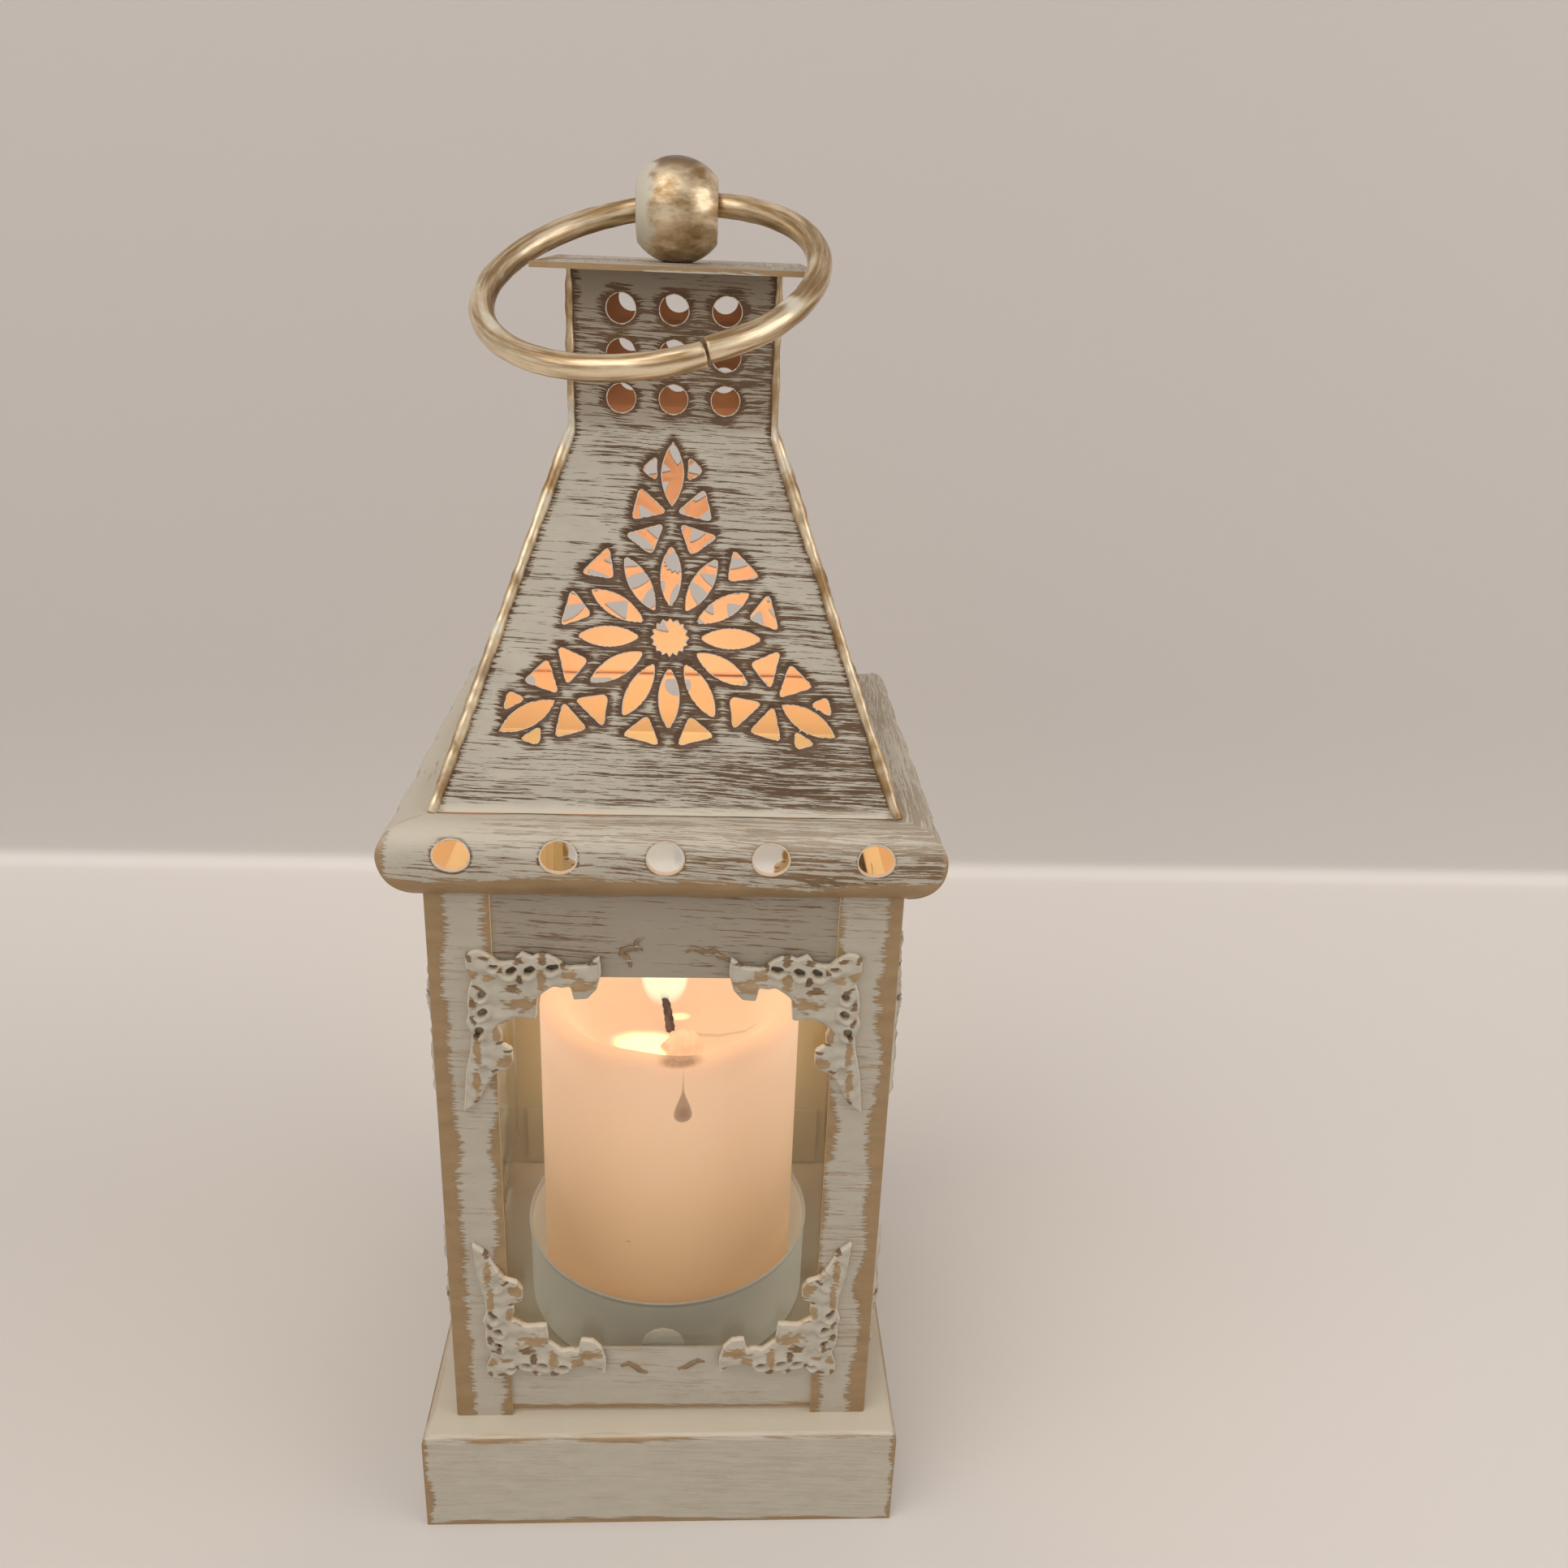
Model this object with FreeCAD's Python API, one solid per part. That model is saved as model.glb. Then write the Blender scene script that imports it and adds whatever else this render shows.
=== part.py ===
import FreeCAD, Part
import math
import os

# Punched tin candle lantern: a square tin body with glazed windows on a folded base tray,
# a bulged eave, a steep pierced roof with a square chimney, and a ring through a bead on top.
# The origin is the centre of the base, on the surface that it stands on. The front faces -Y.
V = FreeCAD.Vector
X_AXIS = V(1, 0, 0)
Y_AXIS = V(0, 1, 0)
Z_AXIS = V(0, 0, 1)

# Sheet, fits and cutting overrun
sheet = 0.6
fit = 0.1
overrun = 2.0

# Facets round a turned piece, a small rod and a punched hole
turned_facets = 48
rod_facets = 14
punch_facets = 10

# Base tray
base_ledge = 5.6
base_height = 21.4
base_fold_radius = 1.3
base_hem = 5.0

# Body: corner posts and rails
body_width = 76.8
body_height = 109.6
post_face = 10.4
post_bend_radius = 0.5
top_rail_height = 15.5
bottom_rail_height = 14.3
rail_foot_gap = 1.1
rail_tuck = 6.0

# Window glass and the tabs that hold it
glass_thickness = 2.0
glass_side_tuck = 3.0
glass_end_tuck = 2.3
tab_width = 8.3
tab_rise = 2.6
tab_spread = 18.0
tab_hide = 0.3

# Filigree corners, measured from the corner of the window that they frame
filigree_sheet = 0.5
filigree_side = 25.6
filigree_across = 17.4
filigree_border = 5.5

# Eave collar
eave_overhang = 5.5
eave_height = 13.0
eave_shoulder_radius = 4.6
eave_belly_radius = 9.5
eave_lip = 2.4
eave_hole_diameter = 5.6
eave_hole_pitch = 16.34
eave_hole_drop = 4.2
eave_hole_count = 5
eave_facets = 3

# Roof and chimney
roof_foot_setback = 1.95
roof_height = 56.4
chimney_width = 31.5
chimney_height = 23.3
roof_flange_tuck = 1.4
seam_radius = 0.9
seam_facets = 8
rosette_height = 27.9
rosette_radius = 30.3
petal_inner_radius = 4.84
petal_outer_radius = 14.3
petal_width = 3.1
petal_count = 12
eye_radius = 2.9
eye_tooth = 0.6
eye_teeth = 16
petal_facets = 3
tip_leaf_length = 9.7
tip_leaf_width = 3.3
motif_count = 3
vent_diameter = 4.4
vent_pitch = 8.05
vent_row_pitch = 6.6
vent_top_margin = 5.5
vent_rows = 3
vent_columns = 3

# Cap, bead and ring
cap_width = 42.0
cap_thickness = 0.8
bead_diameter = 16.0
bead_bore = 8.8
bead_flat = 0.3
bead_facets = 10
screw_diameter = 3.0
screw_bite = 2.7
screw_head_diameter = 5.6
screw_head_height = 1.6
ring_radius = 24.8
ring_wire = 3.7
ring_butt_gap = 0.3
ring_facets = 10
ring_steps = 48
ring_lean_angle = 23.7
ring_roll_angle = -9.0
ring_rise = 0.6
ring_slip_angle = -8.1
ring_butt_angle = -62.0

# Candle, wick and cup
cup_setback = 10.1
cup_height = 18.2
cup_wall = 0.5
cup_rim = 0.7
candle_cup_gap = 3.0
candle_height = 69.0
candle_rim_edge = 1.4
candle_pool_depth = 8.6
candle_rim_width = 3.4
pool_belly_shares = (0.6, 0.16)
wick_diameter = 1.3
wick_stand = 4.0
wick_bend_radius = 7.0
wick_bend_angle = 32.0
wick_foot = 2.0
wick_facets = 8

# Door on the back, with its hinges and turn button
door_side_setback = 5.4
door_overlap = 4.3
door_stile = 8.5
door_rail = 7.3
door_gap = 0.3
door_glass_side_tuck = 1.8
door_glass_end_tuck = 1.7
hinge_length = 11.0
hinge_inset = 25.0
hinge_leaf = 0.5
hinge_post_leaf_width = 3.4
hinge_door_leaf_width = 2.5
hinge_knuckle_diameter = 2.6
hinge_knuckle_gap = 0.2
hinge_pin_diameter = 1.4
hinge_pin_fit = 0.08
button_sheet = 0.8
button_width = 5.2
button_reach = 8.5
button_nib = 1.6
button_gap = 0.3
rivet_diameter = 2.4
rivet_shoulder_diameter = 4.4
rivet_head_diameter = 4.0
rivet_head_height = 0.8

# Shares that set the shapes of the pierced ornament
motif_hole_shares = (
    ((0.084, 0.932), (0.080, 0.805), (0.160, 0.860)),
    ((0.165, 0.769), (0.206, 0.604), (0.026, 0.644)),
    ((0.238, 0.525), (0.043, 0.584), (0.102, 0.425)),
)
pair_radius_shares = (0.561, 0.563, 0.419)
pair_angles = (4.9, 25.1, 15.2)
filigree_cusp_shares = (
    (-1.0, 0.84, -0.16), (-0.7, 0.48, 0.06), (-0.47, 0.95, -0.26), (-0.28, 0.95, -0.20),
    (-0.07, 0.60, 0.06), (0.10, 1.0, 0.14), (0.24, 0.83, 0.10), (0.19, 0.0, 0.06),
    (0.24, -0.17, -0.08), (0.26, -0.31, -0.10), (0.23, -0.50, 0.0), (0.29, -0.70, 0.0),
    (0.33, -1.0, 0.12), (0.11, -0.80, 0.0), (0.0, -0.69, 0.17), (-0.17, -0.60, 0.0),
    (-0.16, -0.50, 0.0), (-0.06, -0.46, 0.14), (-0.04, -0.33, 0.08), (-0.18, -0.27, 0.0),
    (-0.40, -0.28, 0.0), (-0.42, -0.12, 0.0), (-0.56, -0.04, 0.12), (-0.72, -0.04, 0.0),
    (-0.75, -0.14, 0.20), (-0.97, -0.06, 0.08),
)
filigree_hole_shares = (
    (-0.56, 0.46, 0.050, -15.0), (-0.35, 0.37, 0.050, -35.0), (-0.18, 0.35, 0.048, -40.0),
    (-0.02, 0.50, 0.034, 0.0), (0.10, -0.10, 0.044, -60.0), (0.10, -0.23, 0.048, -45.0),
    (0.14, -0.365, 0.048, -70.0),
)
filigree_hole_flat_share = 0.62
filigree_hole_facets = 5

# Levels and faces that several pieces share
half_body = body_width / 2
base_half = half_body + base_ledge
base_width = 2 * base_half
base_top = base_height
body_top = base_top + body_height
window_half = half_body - post_face
window_bottom = base_top + rail_foot_gap + bottom_rail_height
window_top = body_top - top_rail_height
rail_outer = half_body - sheet
rail_inner = rail_outer - sheet
eave_half = half_body + eave_overhang
eave_top = body_top + eave_height
roof_foot_half = half_body - roof_foot_setback
chimney_half = chimney_width / 2
roof_run = roof_foot_half - chimney_half
roof_slant = math.hypot(roof_run, roof_height)
roof_angle = math.degrees(math.atan2(roof_height, roof_run))
chimney_foot = eave_top + roof_height
chimney_top = chimney_foot + chimney_height
cap_top = chimney_top + cap_thickness
bead_radius = bead_diameter / 2
bead_height = cap_top + bead_radius - bead_flat
cup_radius = half_body - cup_setback
cup_floor = base_top + cup_wall
candle_radius = cup_radius - candle_cup_gap


# Small helpers for sheet metal work
def save(node, shape):
    shape.exportStep("parts/" + node + ".step")


def block(low, high):
    size = V(*high) - V(*low)
    return Part.makeBox(size.x, size.y, size.z, V(*low))


# Round forms are turned in flat facets: small rods and holes in few, large ones in more
def ring_of_points(radius, centre, x_direction, y_direction, count):
    points = []
    for index in range(count):
        spoke = polar(radius, 360 * index / count)
        points.append(centre + x_direction * spoke.x + y_direction * spoke.y)
    return points


def rod(radius, start, end):
    along = V(*end) - V(*start)
    x_direction = Z_AXIS if abs(along.x) + abs(along.y) > abs(along.z) else X_AXIS
    y_direction = V(*along).normalize().cross(x_direction)
    return prism(ring_of_points(radius, V(*start), x_direction, y_direction, rod_facets), along)


# Turn a closed half section, given as (radius, height) points, about the Z axis
def turned(profile):
    rings = [ring_of_points(radius, Z_AXIS * height, X_AXIS, Y_AXIS, turned_facets)
             for radius, height in profile]
    faces = []
    for ring, following in zip(rings, rings[1:] + rings[:1]):
        for index in range(turned_facets):
            after = (index + 1) % turned_facets
            corners = [ring[index], ring[after], following[after], following[index], ring[index]]
            faces.append(Part.Face(Part.makePolygon(corners)))
    solid = Part.Solid(Part.Shell(faces)).removeSplitter()
    return solid if solid.Volume > 0 else solid.reversed()


def disc(radius, low, high):
    return prism(ring_of_points(radius, Z_AXIS * low, X_AXIS, Y_AXIS, turned_facets), Z_AXIS * (high - low))


def quarter_turn(shape, turns):
    placed = shape.copy()
    placed.rotate(V(), Z_AXIS, turns * 90)
    return placed


def mirrored(shape, normal, height=0):
    return shape.mirror(V(0, 0, height), normal)


def prism(points, direction):
    return Part.Face(Part.makePolygon(points + [points[0]])).extrude(direction)


def polar(radius, degrees):
    angle = math.radians(degrees)
    return V(radius * math.cos(angle), radius * math.sin(angle), 0)


def punched(sheet_piece, radius, centre, depth):
    points = ring_of_points(radius, centre, X_AXIS, Z_AXIS, punch_facets)
    return sheet_piece.cut(prism(points, Y_AXIS * depth))


# One quarter of the plan, bounded by the mitre planes, for the front side
def front_quarter(shape):
    reach = base_width
    corners = [V(0, 0, 0), V(-reach, -reach, 0), V(reach, -reach, 0)]
    return shape.common(prism(corners, Z_AXIS * (cap_top + bead_diameter)))


# Base tray: one sheet folded down on four sides, with a hem turned in underneath
def base_tray():
    half = base_half
    outer = block((-half, -half, 0), (half, half, base_top))
    edges = [edge for edge in outer.Edges if edge.BoundBox.ZMin > base_top - overrun]
    outer = outer.makeFillet(base_fold_radius, edges)
    inner = block((sheet - half, sheet - half, sheet), (half - sheet, half - sheet, base_top - sheet))
    mouth = half - base_hem
    opening = block((-mouth, -mouth, -overrun), (mouth, mouth, base_top / 2))
    return outer.cut(inner.fuse(opening))


# Corner post at the front left: an L angle from the base to the eave
def corner_post():
    near, edge, inside = -half_body, -window_half, sheet - half_body
    corners = [(near, near), (edge, near), (edge, inside), (inside, inside), (inside, edge), (near, edge)]
    post = prism([V(x, y, base_top) for x, y in corners], Z_AXIS * body_height)
    bend = [e for e in post.Edges if e.BoundBox.XMax < near + fit and e.BoundBox.YMax < near + fit]
    return post.makeFillet(post_bend_radius, bend)


# A tab bent from a rail: a shelf at the end of the glass and a round-ended tongue behind it
def glass_tab(wall, glass_end, tongue_end):
    back = wall + glass_thickness + fit
    end = glass_end - fit
    radius = tab_width / 2
    shelf = block((-radius, wall, end - sheet), (radius, back + sheet, end))
    tongue = block((-radius, back, end - sheet), (radius, back + sheet, tongue_end))
    centre = tongue_end - radius
    bar = rod(radius, (0, back, centre), (0, back + sheet, centre))
    skirt = block((-radius, back, end - tab_width), (radius, back + sheet, centre))
    return shelf.fuse(tongue.common(bar.fuse(skirt))).removeSplitter()


# Rails across the front, tucked behind the posts
def rail(bottom, top):
    half = window_half + rail_tuck
    return block((-half, -rail_outer, bottom), (half, -rail_inner, top))


def bottom_rail():
    tab = glass_tab(-rail_inner, window_bottom - glass_end_tuck, window_bottom + tab_rise)
    return rail(base_top + rail_foot_gap, window_bottom).fuse(tab)


def top_rail():
    level = window_top + glass_end_tuck
    tab = glass_tab(-rail_inner, level, 2 * level - window_top - tab_hide)
    tab = mirrored(tab, Z_AXIS, level)
    body = rail(window_top, body_top)
    for side in (-1, 1):
        place = tab.copy()
        place.translate(X_AXIS * (side * tab_spread))
        body = body.fuse(place)
    return body


def window_glass():
    half = window_half + glass_side_tuck
    low = (-half, -rail_inner, window_bottom - glass_end_tuck)
    high = (half, glass_thickness - rail_inner, window_top + glass_end_tuck)
    return block(low, high)


# Filigree corner: a stamped openwork leaf spray for the top right corner of a window.
# Each row of the table is a point of the edge and the swell of the lobe or bay that follows it.
def filigree_point(across_share, up_share):
    up = filigree_border if up_share > 0 else filigree_side
    return V(across_share * filigree_across, 0, up_share * up)


def filigree_corner():
    places = [filigree_point(x, z) for x, z, _ in filigree_cusp_shares]
    outline = []
    for index, (_, _, swell) in enumerate(filigree_cusp_shares):
        start = places[index]
        chord = places[(index + 1) % len(places)] - start
        outline.append(start)
        if swell:
            side = chord.cross(Y_AXIS) * swell
            outline.append(start + chord / 2 + side)
    leaf = prism(outline, Y_AXIS * filigree_sheet)
    for across, up, size, tilt in filigree_hole_shares:
        centre = filigree_point(across, up) - Y_AXIS * overrun
        radius = size * filigree_side
        ring = ring_of_points(radius, centre, X_AXIS, Z_AXIS * filigree_hole_flat_share, filigree_hole_facets)
        hole = prism(ring, Y_AXIS * (2 * overrun + filigree_sheet))
        hole.rotate(centre, Y_AXIS, -tilt)
        leaf = leaf.cut(hole)
    return leaf


def filigree_set(face, half_width, bottom, top):
    upper = filigree_corner()
    upper.translate(V(half_width, -face - filigree_sheet, top))
    lower = mirrored(upper, Z_AXIS, (top + bottom) / 2)
    return {
        "upper_right": upper,
        "upper_left": mirrored(upper, X_AXIS),
        "lower_right": lower,
        "lower_left": mirrored(lower, X_AXIS),
    }


# Eave: a bulged strip with a flange under the roof and a lip on the body.
# The section goes round the tight shoulder and the wide belly in short facets.
def eave_curve(inset):
    shoulder = V(0, eave_shoulder_radius - eave_half, eave_top - eave_shoulder_radius)
    belly = V(0, eave_belly_radius - eave_half, shoulder.z)
    shoulder_radius = eave_shoulder_radius - inset
    belly_radius = eave_belly_radius - inset
    belly_angle = math.degrees(math.asin((belly.z - body_top - inset) / belly_radius))
    points = []
    for step in range(eave_facets + 1):
        spoke = polar(shoulder_radius, 90 + 90 * step / eave_facets)
        points.append(shoulder + V(0, spoke.x, spoke.y))
    for step in range(1, eave_facets + 1):
        spoke = polar(belly_radius, 180 + belly_angle * step / eave_facets)
        points.append(belly + V(0, spoke.x, spoke.y))
    return points


def eave_strip():
    flange_end = roof_flange_tuck - roof_foot_half
    lip_end = eave_lip - half_body
    outside = [V(0, flange_end, eave_top)] + eave_curve(0) + [V(0, lip_end, body_top)]
    inside = [V(0, flange_end, eave_top - sheet)] + eave_curve(sheet) + [V(0, lip_end, body_top + sheet)]
    section = [point - X_AXIS * base_width for point in outside + inside[::-1]]
    strip = front_quarter(prism(section, X_AXIS * (2 * base_width)))
    level = eave_top - eave_hole_drop
    for index in range(eave_hole_count):
        x = (index - (eave_hole_count - 1) / 2) * eave_hole_pitch
        strip = punched(strip, eave_hole_diameter / 2, V(x, -base_width, level), base_width - half_body)
    return strip


# Punches for the rosette, flat in the plane of the roof panel, with +Y up the slope
def vesica(start, end, width, direction):
    half_chord = (end - start).Length / 2
    sagitta = width / 2
    radius = (half_chord ** 2 + sagitta ** 2) / (2 * sagitta)
    sweep = math.degrees(2 * math.asin(half_chord / radius))
    along = (end - start).normalize()
    across = along.cross(Z_AXIS)
    middle = (start + end) / 2
    points = []
    for side in (1, -1):
        for step in range(petal_facets):
            spoke = polar(radius, 90 + side * sweep * (0.5 - step / petal_facets))
            reach = spoke.y - radius + sagitta
            points.append(middle - along * spoke.x + across * (side * reach))
    return prism(points, direction)


def rosette_punches():
    depth = Z_AXIS * (2 * overrun)
    eye = []
    for index in range(2 * eye_teeth):
        radius = eye_radius - (index % 2) * eye_tooth
        eye.append(polar(radius, index * 180 / eye_teeth))
    punches = [prism(eye, depth)]
    for index in range(petal_count):
        angle = 90 + index * 360 / petal_count
        start = polar(petal_inner_radius, angle)
        punches.append(vesica(start, polar(petal_outer_radius, angle), petal_width, depth))
    tip_start = V(0, rosette_radius - tip_leaf_length, 0)
    motif = [vesica(tip_start, V(0, rosette_radius, 0), tip_leaf_width, depth)]
    for side in (-1, 1):
        for hole in motif_hole_shares:
            points = [V(side * x * rosette_radius, y * rosette_radius, 0) for x, y in hole]
            motif.append(prism(points, depth))
        pair = zip(pair_radius_shares, pair_angles)
        points = [polar(share * rosette_radius, side * angle - 90) for share, angle in pair]
        motif.append(prism(points, depth))
    for turn in range(motif_count):
        for hole in motif:
            placed = hole.copy()
            placed.rotate(V(), Z_AXIS, turn * 360 / motif_count)
            punches.append(placed)
    tool = Part.makeCompound(punches)
    tool.translate(V(0, rosette_height, -overrun))
    tool.rotate(V(), X_AXIS, roof_angle)
    tool.translate(V(0, -roof_foot_half, eave_top))
    return tool


# Roof panel: the pierced slope and the chimney side above it, folded from one sheet
def roof_panel():
    foot_thickness = sheet * roof_slant / roof_height
    inner_crease = chimney_half - sheet
    crease_rise = (roof_foot_half - foot_thickness - inner_crease) * roof_height / roof_run
    profile = [
        (roof_foot_half, eave_top), (chimney_half, chimney_foot), (chimney_half, chimney_top),
        (inner_crease, chimney_top), (inner_crease, eave_top + crease_rise),
        (roof_foot_half - foot_thickness, eave_top),
    ]
    points = [V(-base_width, -y, z) for y, z in profile]
    panel = front_quarter(prism(points, X_AXIS * (2 * base_width)))
    panel = panel.cut(rosette_punches())
    for row in range(vent_rows):
        z = chimney_top - vent_top_margin - row * vent_row_pitch
        for column in range(vent_columns):
            x = (column - (vent_columns - 1) / 2) * vent_pitch
            panel = punched(panel, vent_diameter / 2, V(x, -base_width, z), base_width)
    return panel


# Solder seam on one hip: a flattened bead that lies over the joint of two panels
def hip_seam():
    def section(half_plan, z):
        centre = V(-half_plan, -half_plan, z)
        points = ring_of_points(seam_radius, centre, X_AXIS, Y_AXIS, seam_facets)
        return Part.makePolygon(points + [points[0]])

    def square(half_plan, z):
        corners = [(-half_plan, -half_plan), (half_plan, -half_plan), (half_plan, half_plan),
                   (-half_plan, half_plan), (-half_plan, -half_plan)]
        return Part.makePolygon([V(x, y, z) for x, y in corners])

    levels = [(roof_foot_half, eave_top), (chimney_half, chimney_foot), (chimney_half, chimney_top)]
    bead = Part.makeLoft([section(half, z) for half, z in levels], True, True)
    core = Part.makeLoft([square(half, z) for half, z in levels], True, True)
    return bead.cut(core)


# Bead: turned across its bore, which the ring passes through, and drilled from below for its screw
def finial_bead():
    bore = bead_bore / 2
    end_angle = math.degrees(math.acos(bore / bead_radius))
    levels = []
    for step in range(bead_facets + 1):
        spoke = polar(bead_radius, end_angle * (2 * step / bead_facets - 1))
        levels.append((spoke.x, spoke.y))
    ball = turned(levels)
    ball.rotate(V(), Y_AXIS, 90)
    ball.translate(V(0, 0, bead_height))
    ball = ball.cut(block((-bead_radius, -bead_radius, 0), (bead_radius, bead_radius, cap_top)))
    bite = cap_top + screw_bite + fit
    return ball.cut(rod(screw_diameter / 2 + fit, (0, 0, cap_top - overrun), (0, 0, bite)))


def cap_plate():
    half = cap_width / 2
    plate = block((-half, -half, chimney_top), (half, half, cap_top))
    return plate.cut(rod(screw_diameter / 2 + fit, (0, 0, chimney_top - overrun), (0, 0, cap_top + overrun)))


def finial_screw():
    shank = rod(screw_diameter / 2, (0, 0, chimney_top - fit), (0, 0, cap_top + screw_bite))
    head = rod(screw_head_diameter / 2, (0, 0, chimney_top - screw_head_height), (0, 0, chimney_top))
    return head.fuse(shank)


# Ring: one wire bent round and butted, slack in the bead, lying on the edge of the cap
def ring_handle():
    gap_angle = math.degrees(ring_butt_gap / ring_radius)
    sections = []
    for step in range(ring_steps + 1):
        spoke = polar(ring_radius, (360 - gap_angle) * step / ring_steps)
        outward = polar(1, (360 - gap_angle) * step / ring_steps)
        points = ring_of_points(ring_wire / 2, spoke, outward, Z_AXIS, ring_facets)
        sections.append(Part.makePolygon(points + [points[0]]))
    ring = Part.makeLoft(sections, True, True)
    ring.rotate(V(), Z_AXIS, ring_butt_angle)
    bore_half = math.sqrt(bead_radius ** 2 - (bead_bore / 2) ** 2)
    sagitta = ring_radius - math.sqrt(ring_radius ** 2 - bore_half ** 2)
    ring.translate(V(0, sagitta / 2 - ring_radius, 0))
    ring.rotate(V(), Z_AXIS, ring_slip_angle)
    ring.rotate(V(), Y_AXIS, ring_roll_angle)
    ring.rotate(V(), X_AXIS, ring_lean_angle)
    ring.translate(V(0, 0, bead_height + ring_rise))
    return ring


# Cup: a drawn tin cup with a turned-out rim, soldered on the base tray
def candle_cup():
    inner = cup_radius - cup_wall
    top = base_top + cup_height
    wall = disc(cup_radius, base_top, top)
    rim = disc(cup_radius + cup_rim, top - cup_rim, top)
    return wall.fuse(rim).cut(disc(inner, cup_floor, top + overrun)).removeSplitter()


# Candle: a pillar with a melted pool in its top and a bore for its wick
def candle():
    radius = candle_radius
    bore = wick_diameter / 2 + fit
    rim = cup_floor + candle_height
    pool = rim - candle_pool_depth
    belly_across, belly_up = pool_belly_shares
    belly = (radius * belly_across, pool + candle_pool_depth * belly_up)
    return turned([
        (bore, cup_floor), (radius, cup_floor), (radius, rim - candle_rim_edge),
        (radius - candle_rim_edge, rim), (radius - candle_rim_width, rim), belly, (bore, pool),
    ])


# Wick: a braided cord in the bore of the candle, curled over at its burnt end
def wick():
    pool = cup_floor + candle_height - candle_pool_depth
    foot = cup_floor + wick_foot
    points = ring_of_points(wick_diameter / 2, Z_AXIS * foot, X_AXIS, Y_AXIS, wick_facets)
    face = Part.Face(Part.makePolygon(points + [points[0]]))
    stem = face.extrude(Z_AXIS * (pool + wick_stand - foot))
    face.translate(Z_AXIS * (pool + wick_stand - foot))
    centre = V(-wick_bend_radius, 0, pool + wick_stand)
    return stem.fuse(face.revolve(centre, -Y_AXIS, wick_bend_angle))


# Door on the back: a frame of sheet over the opening, which carries its own glass
door_half = half_body - door_side_setback
door_bottom = window_bottom - door_overlap
door_top = window_top + door_overlap
door_inner = half_body + door_gap
door_outer = door_inner + sheet
door_window_half = door_half - door_stile
door_window_bottom = door_bottom + door_rail
door_window_top = door_top - door_rail


def door_frame():
    frame = block((-door_half, door_inner, door_bottom), (door_half, door_outer, door_top))
    window = block((-door_window_half, door_inner - overrun, door_window_bottom),
                   (door_window_half, door_outer + overrun, door_window_top))
    frame = frame.cut(window)
    low = door_window_bottom - door_glass_end_tuck
    high = door_window_top + door_glass_end_tuck
    bottom_tab = glass_tab(-door_inner, low, door_window_bottom - tab_hide)
    top_tab = glass_tab(-door_inner, high, 2 * high - door_window_top - tab_hide)
    top_tab = mirrored(top_tab, Z_AXIS, high)
    for tab in (bottom_tab, top_tab):
        tab = quarter_turn(tab, 2)
        for side in (-1, 1):
            place = tab.copy()
            place.translate(X_AXIS * (side * door_window_half / 2))
            frame = frame.fuse(place)
    return frame


def door_glass():
    half = door_window_half + door_glass_side_tuck
    low = (-half, door_inner - glass_thickness, door_window_bottom - door_glass_end_tuck)
    return block(low, (half, door_inner, door_window_top + door_glass_end_tuck))


# Lift-off barrel hinges: two on the left edge of the opening, seen from the front
knuckle_radius = hinge_knuckle_diameter / 2
pin_radius = hinge_pin_diameter / 2
hinge_x = hinge_post_leaf_width + fit - half_body
hinge_y = half_body + knuckle_radius + 2 * fit
hinge_levels = (door_bottom + hinge_inset, door_top - hinge_inset)


def hinge_rod(radius, low, high):
    return rod(radius, (hinge_x, hinge_y, low), (hinge_x, hinge_y, high))


def hinge_parts(level):
    low = level - hinge_length / 2
    high = level + hinge_length / 2
    split = level + hinge_knuckle_gap
    hole = hinge_rod(pin_radius + hinge_pin_fit, low - overrun, high + overrun)
    post_leaf = block((fit - half_body, half_body, low), (hinge_x, half_body + hinge_leaf, level))
    post_leaf = post_leaf.fuse(hinge_rod(knuckle_radius, low, level)).cut(hole)
    leaf_edge = hinge_door_leaf_width - door_half
    door_leaf = block((hinge_x, door_outer, split), (leaf_edge, door_outer + hinge_leaf, high))
    door_leaf = door_leaf.fuse(hinge_rod(knuckle_radius, split, high)).cut(hole)
    return post_leaf, door_leaf, hinge_rod(pin_radius, low, high)


# Turn button on the right post: it hangs down when open and turns in over the door when shut
button_x = (half_body + door_half) / 2
button_y = door_outer + button_gap
button_z = (door_bottom + door_top) / 2


def latch_button():
    radius = button_width / 2
    far = button_z - button_reach + radius
    back = button_y + button_sheet
    bar = rod(radius, (button_x, button_y, button_z), (button_x, back, button_z))
    bar = bar.fuse(rod(radius, (button_x, button_y, far), (button_x, back, far)))
    bar = bar.fuse(block((button_x - radius, button_y, far), (button_x + radius, back, button_z)))
    low = far - radius / 2
    nib = block((button_x - radius / 2, button_y, low),
                (button_x + radius / 2, back + button_nib, low + button_sheet))
    hole = rod(rivet_diameter / 2 + fit, (button_x, button_y - overrun, button_z),
               (button_x, back + overrun, button_z))
    return bar.fuse(nib).cut(hole)


def latch_rivet():
    head_foot = button_y + button_sheet + fit
    shoulder = rod(rivet_shoulder_diameter / 2, (button_x, half_body, button_z),
                   (button_x, button_y - fit, button_z))
    shank = rod(rivet_diameter / 2, (button_x, half_body, button_z), (button_x, head_foot, button_z))
    head = rod(rivet_head_diameter / 2, (button_x, head_foot, button_z),
               (button_x, head_foot + rivet_head_height, button_z))
    return shoulder.fuse(shank).fuse(head)


# Build every piece and write it out
os.makedirs("parts", exist_ok=True)
corner_names = ("front_left", "front_right", "back_right", "back_left")
side_names = ("front", "right", "back", "left")
glazed_names = ("front", "right", "left")

save("base_tray", base_tray())
save("candle_cup", candle_cup())
save("candle", candle())
save("wick", wick())

for turn, name in enumerate(corner_names):
    save("post_" + name, quarter_turn(corner_post(), turn))

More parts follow.
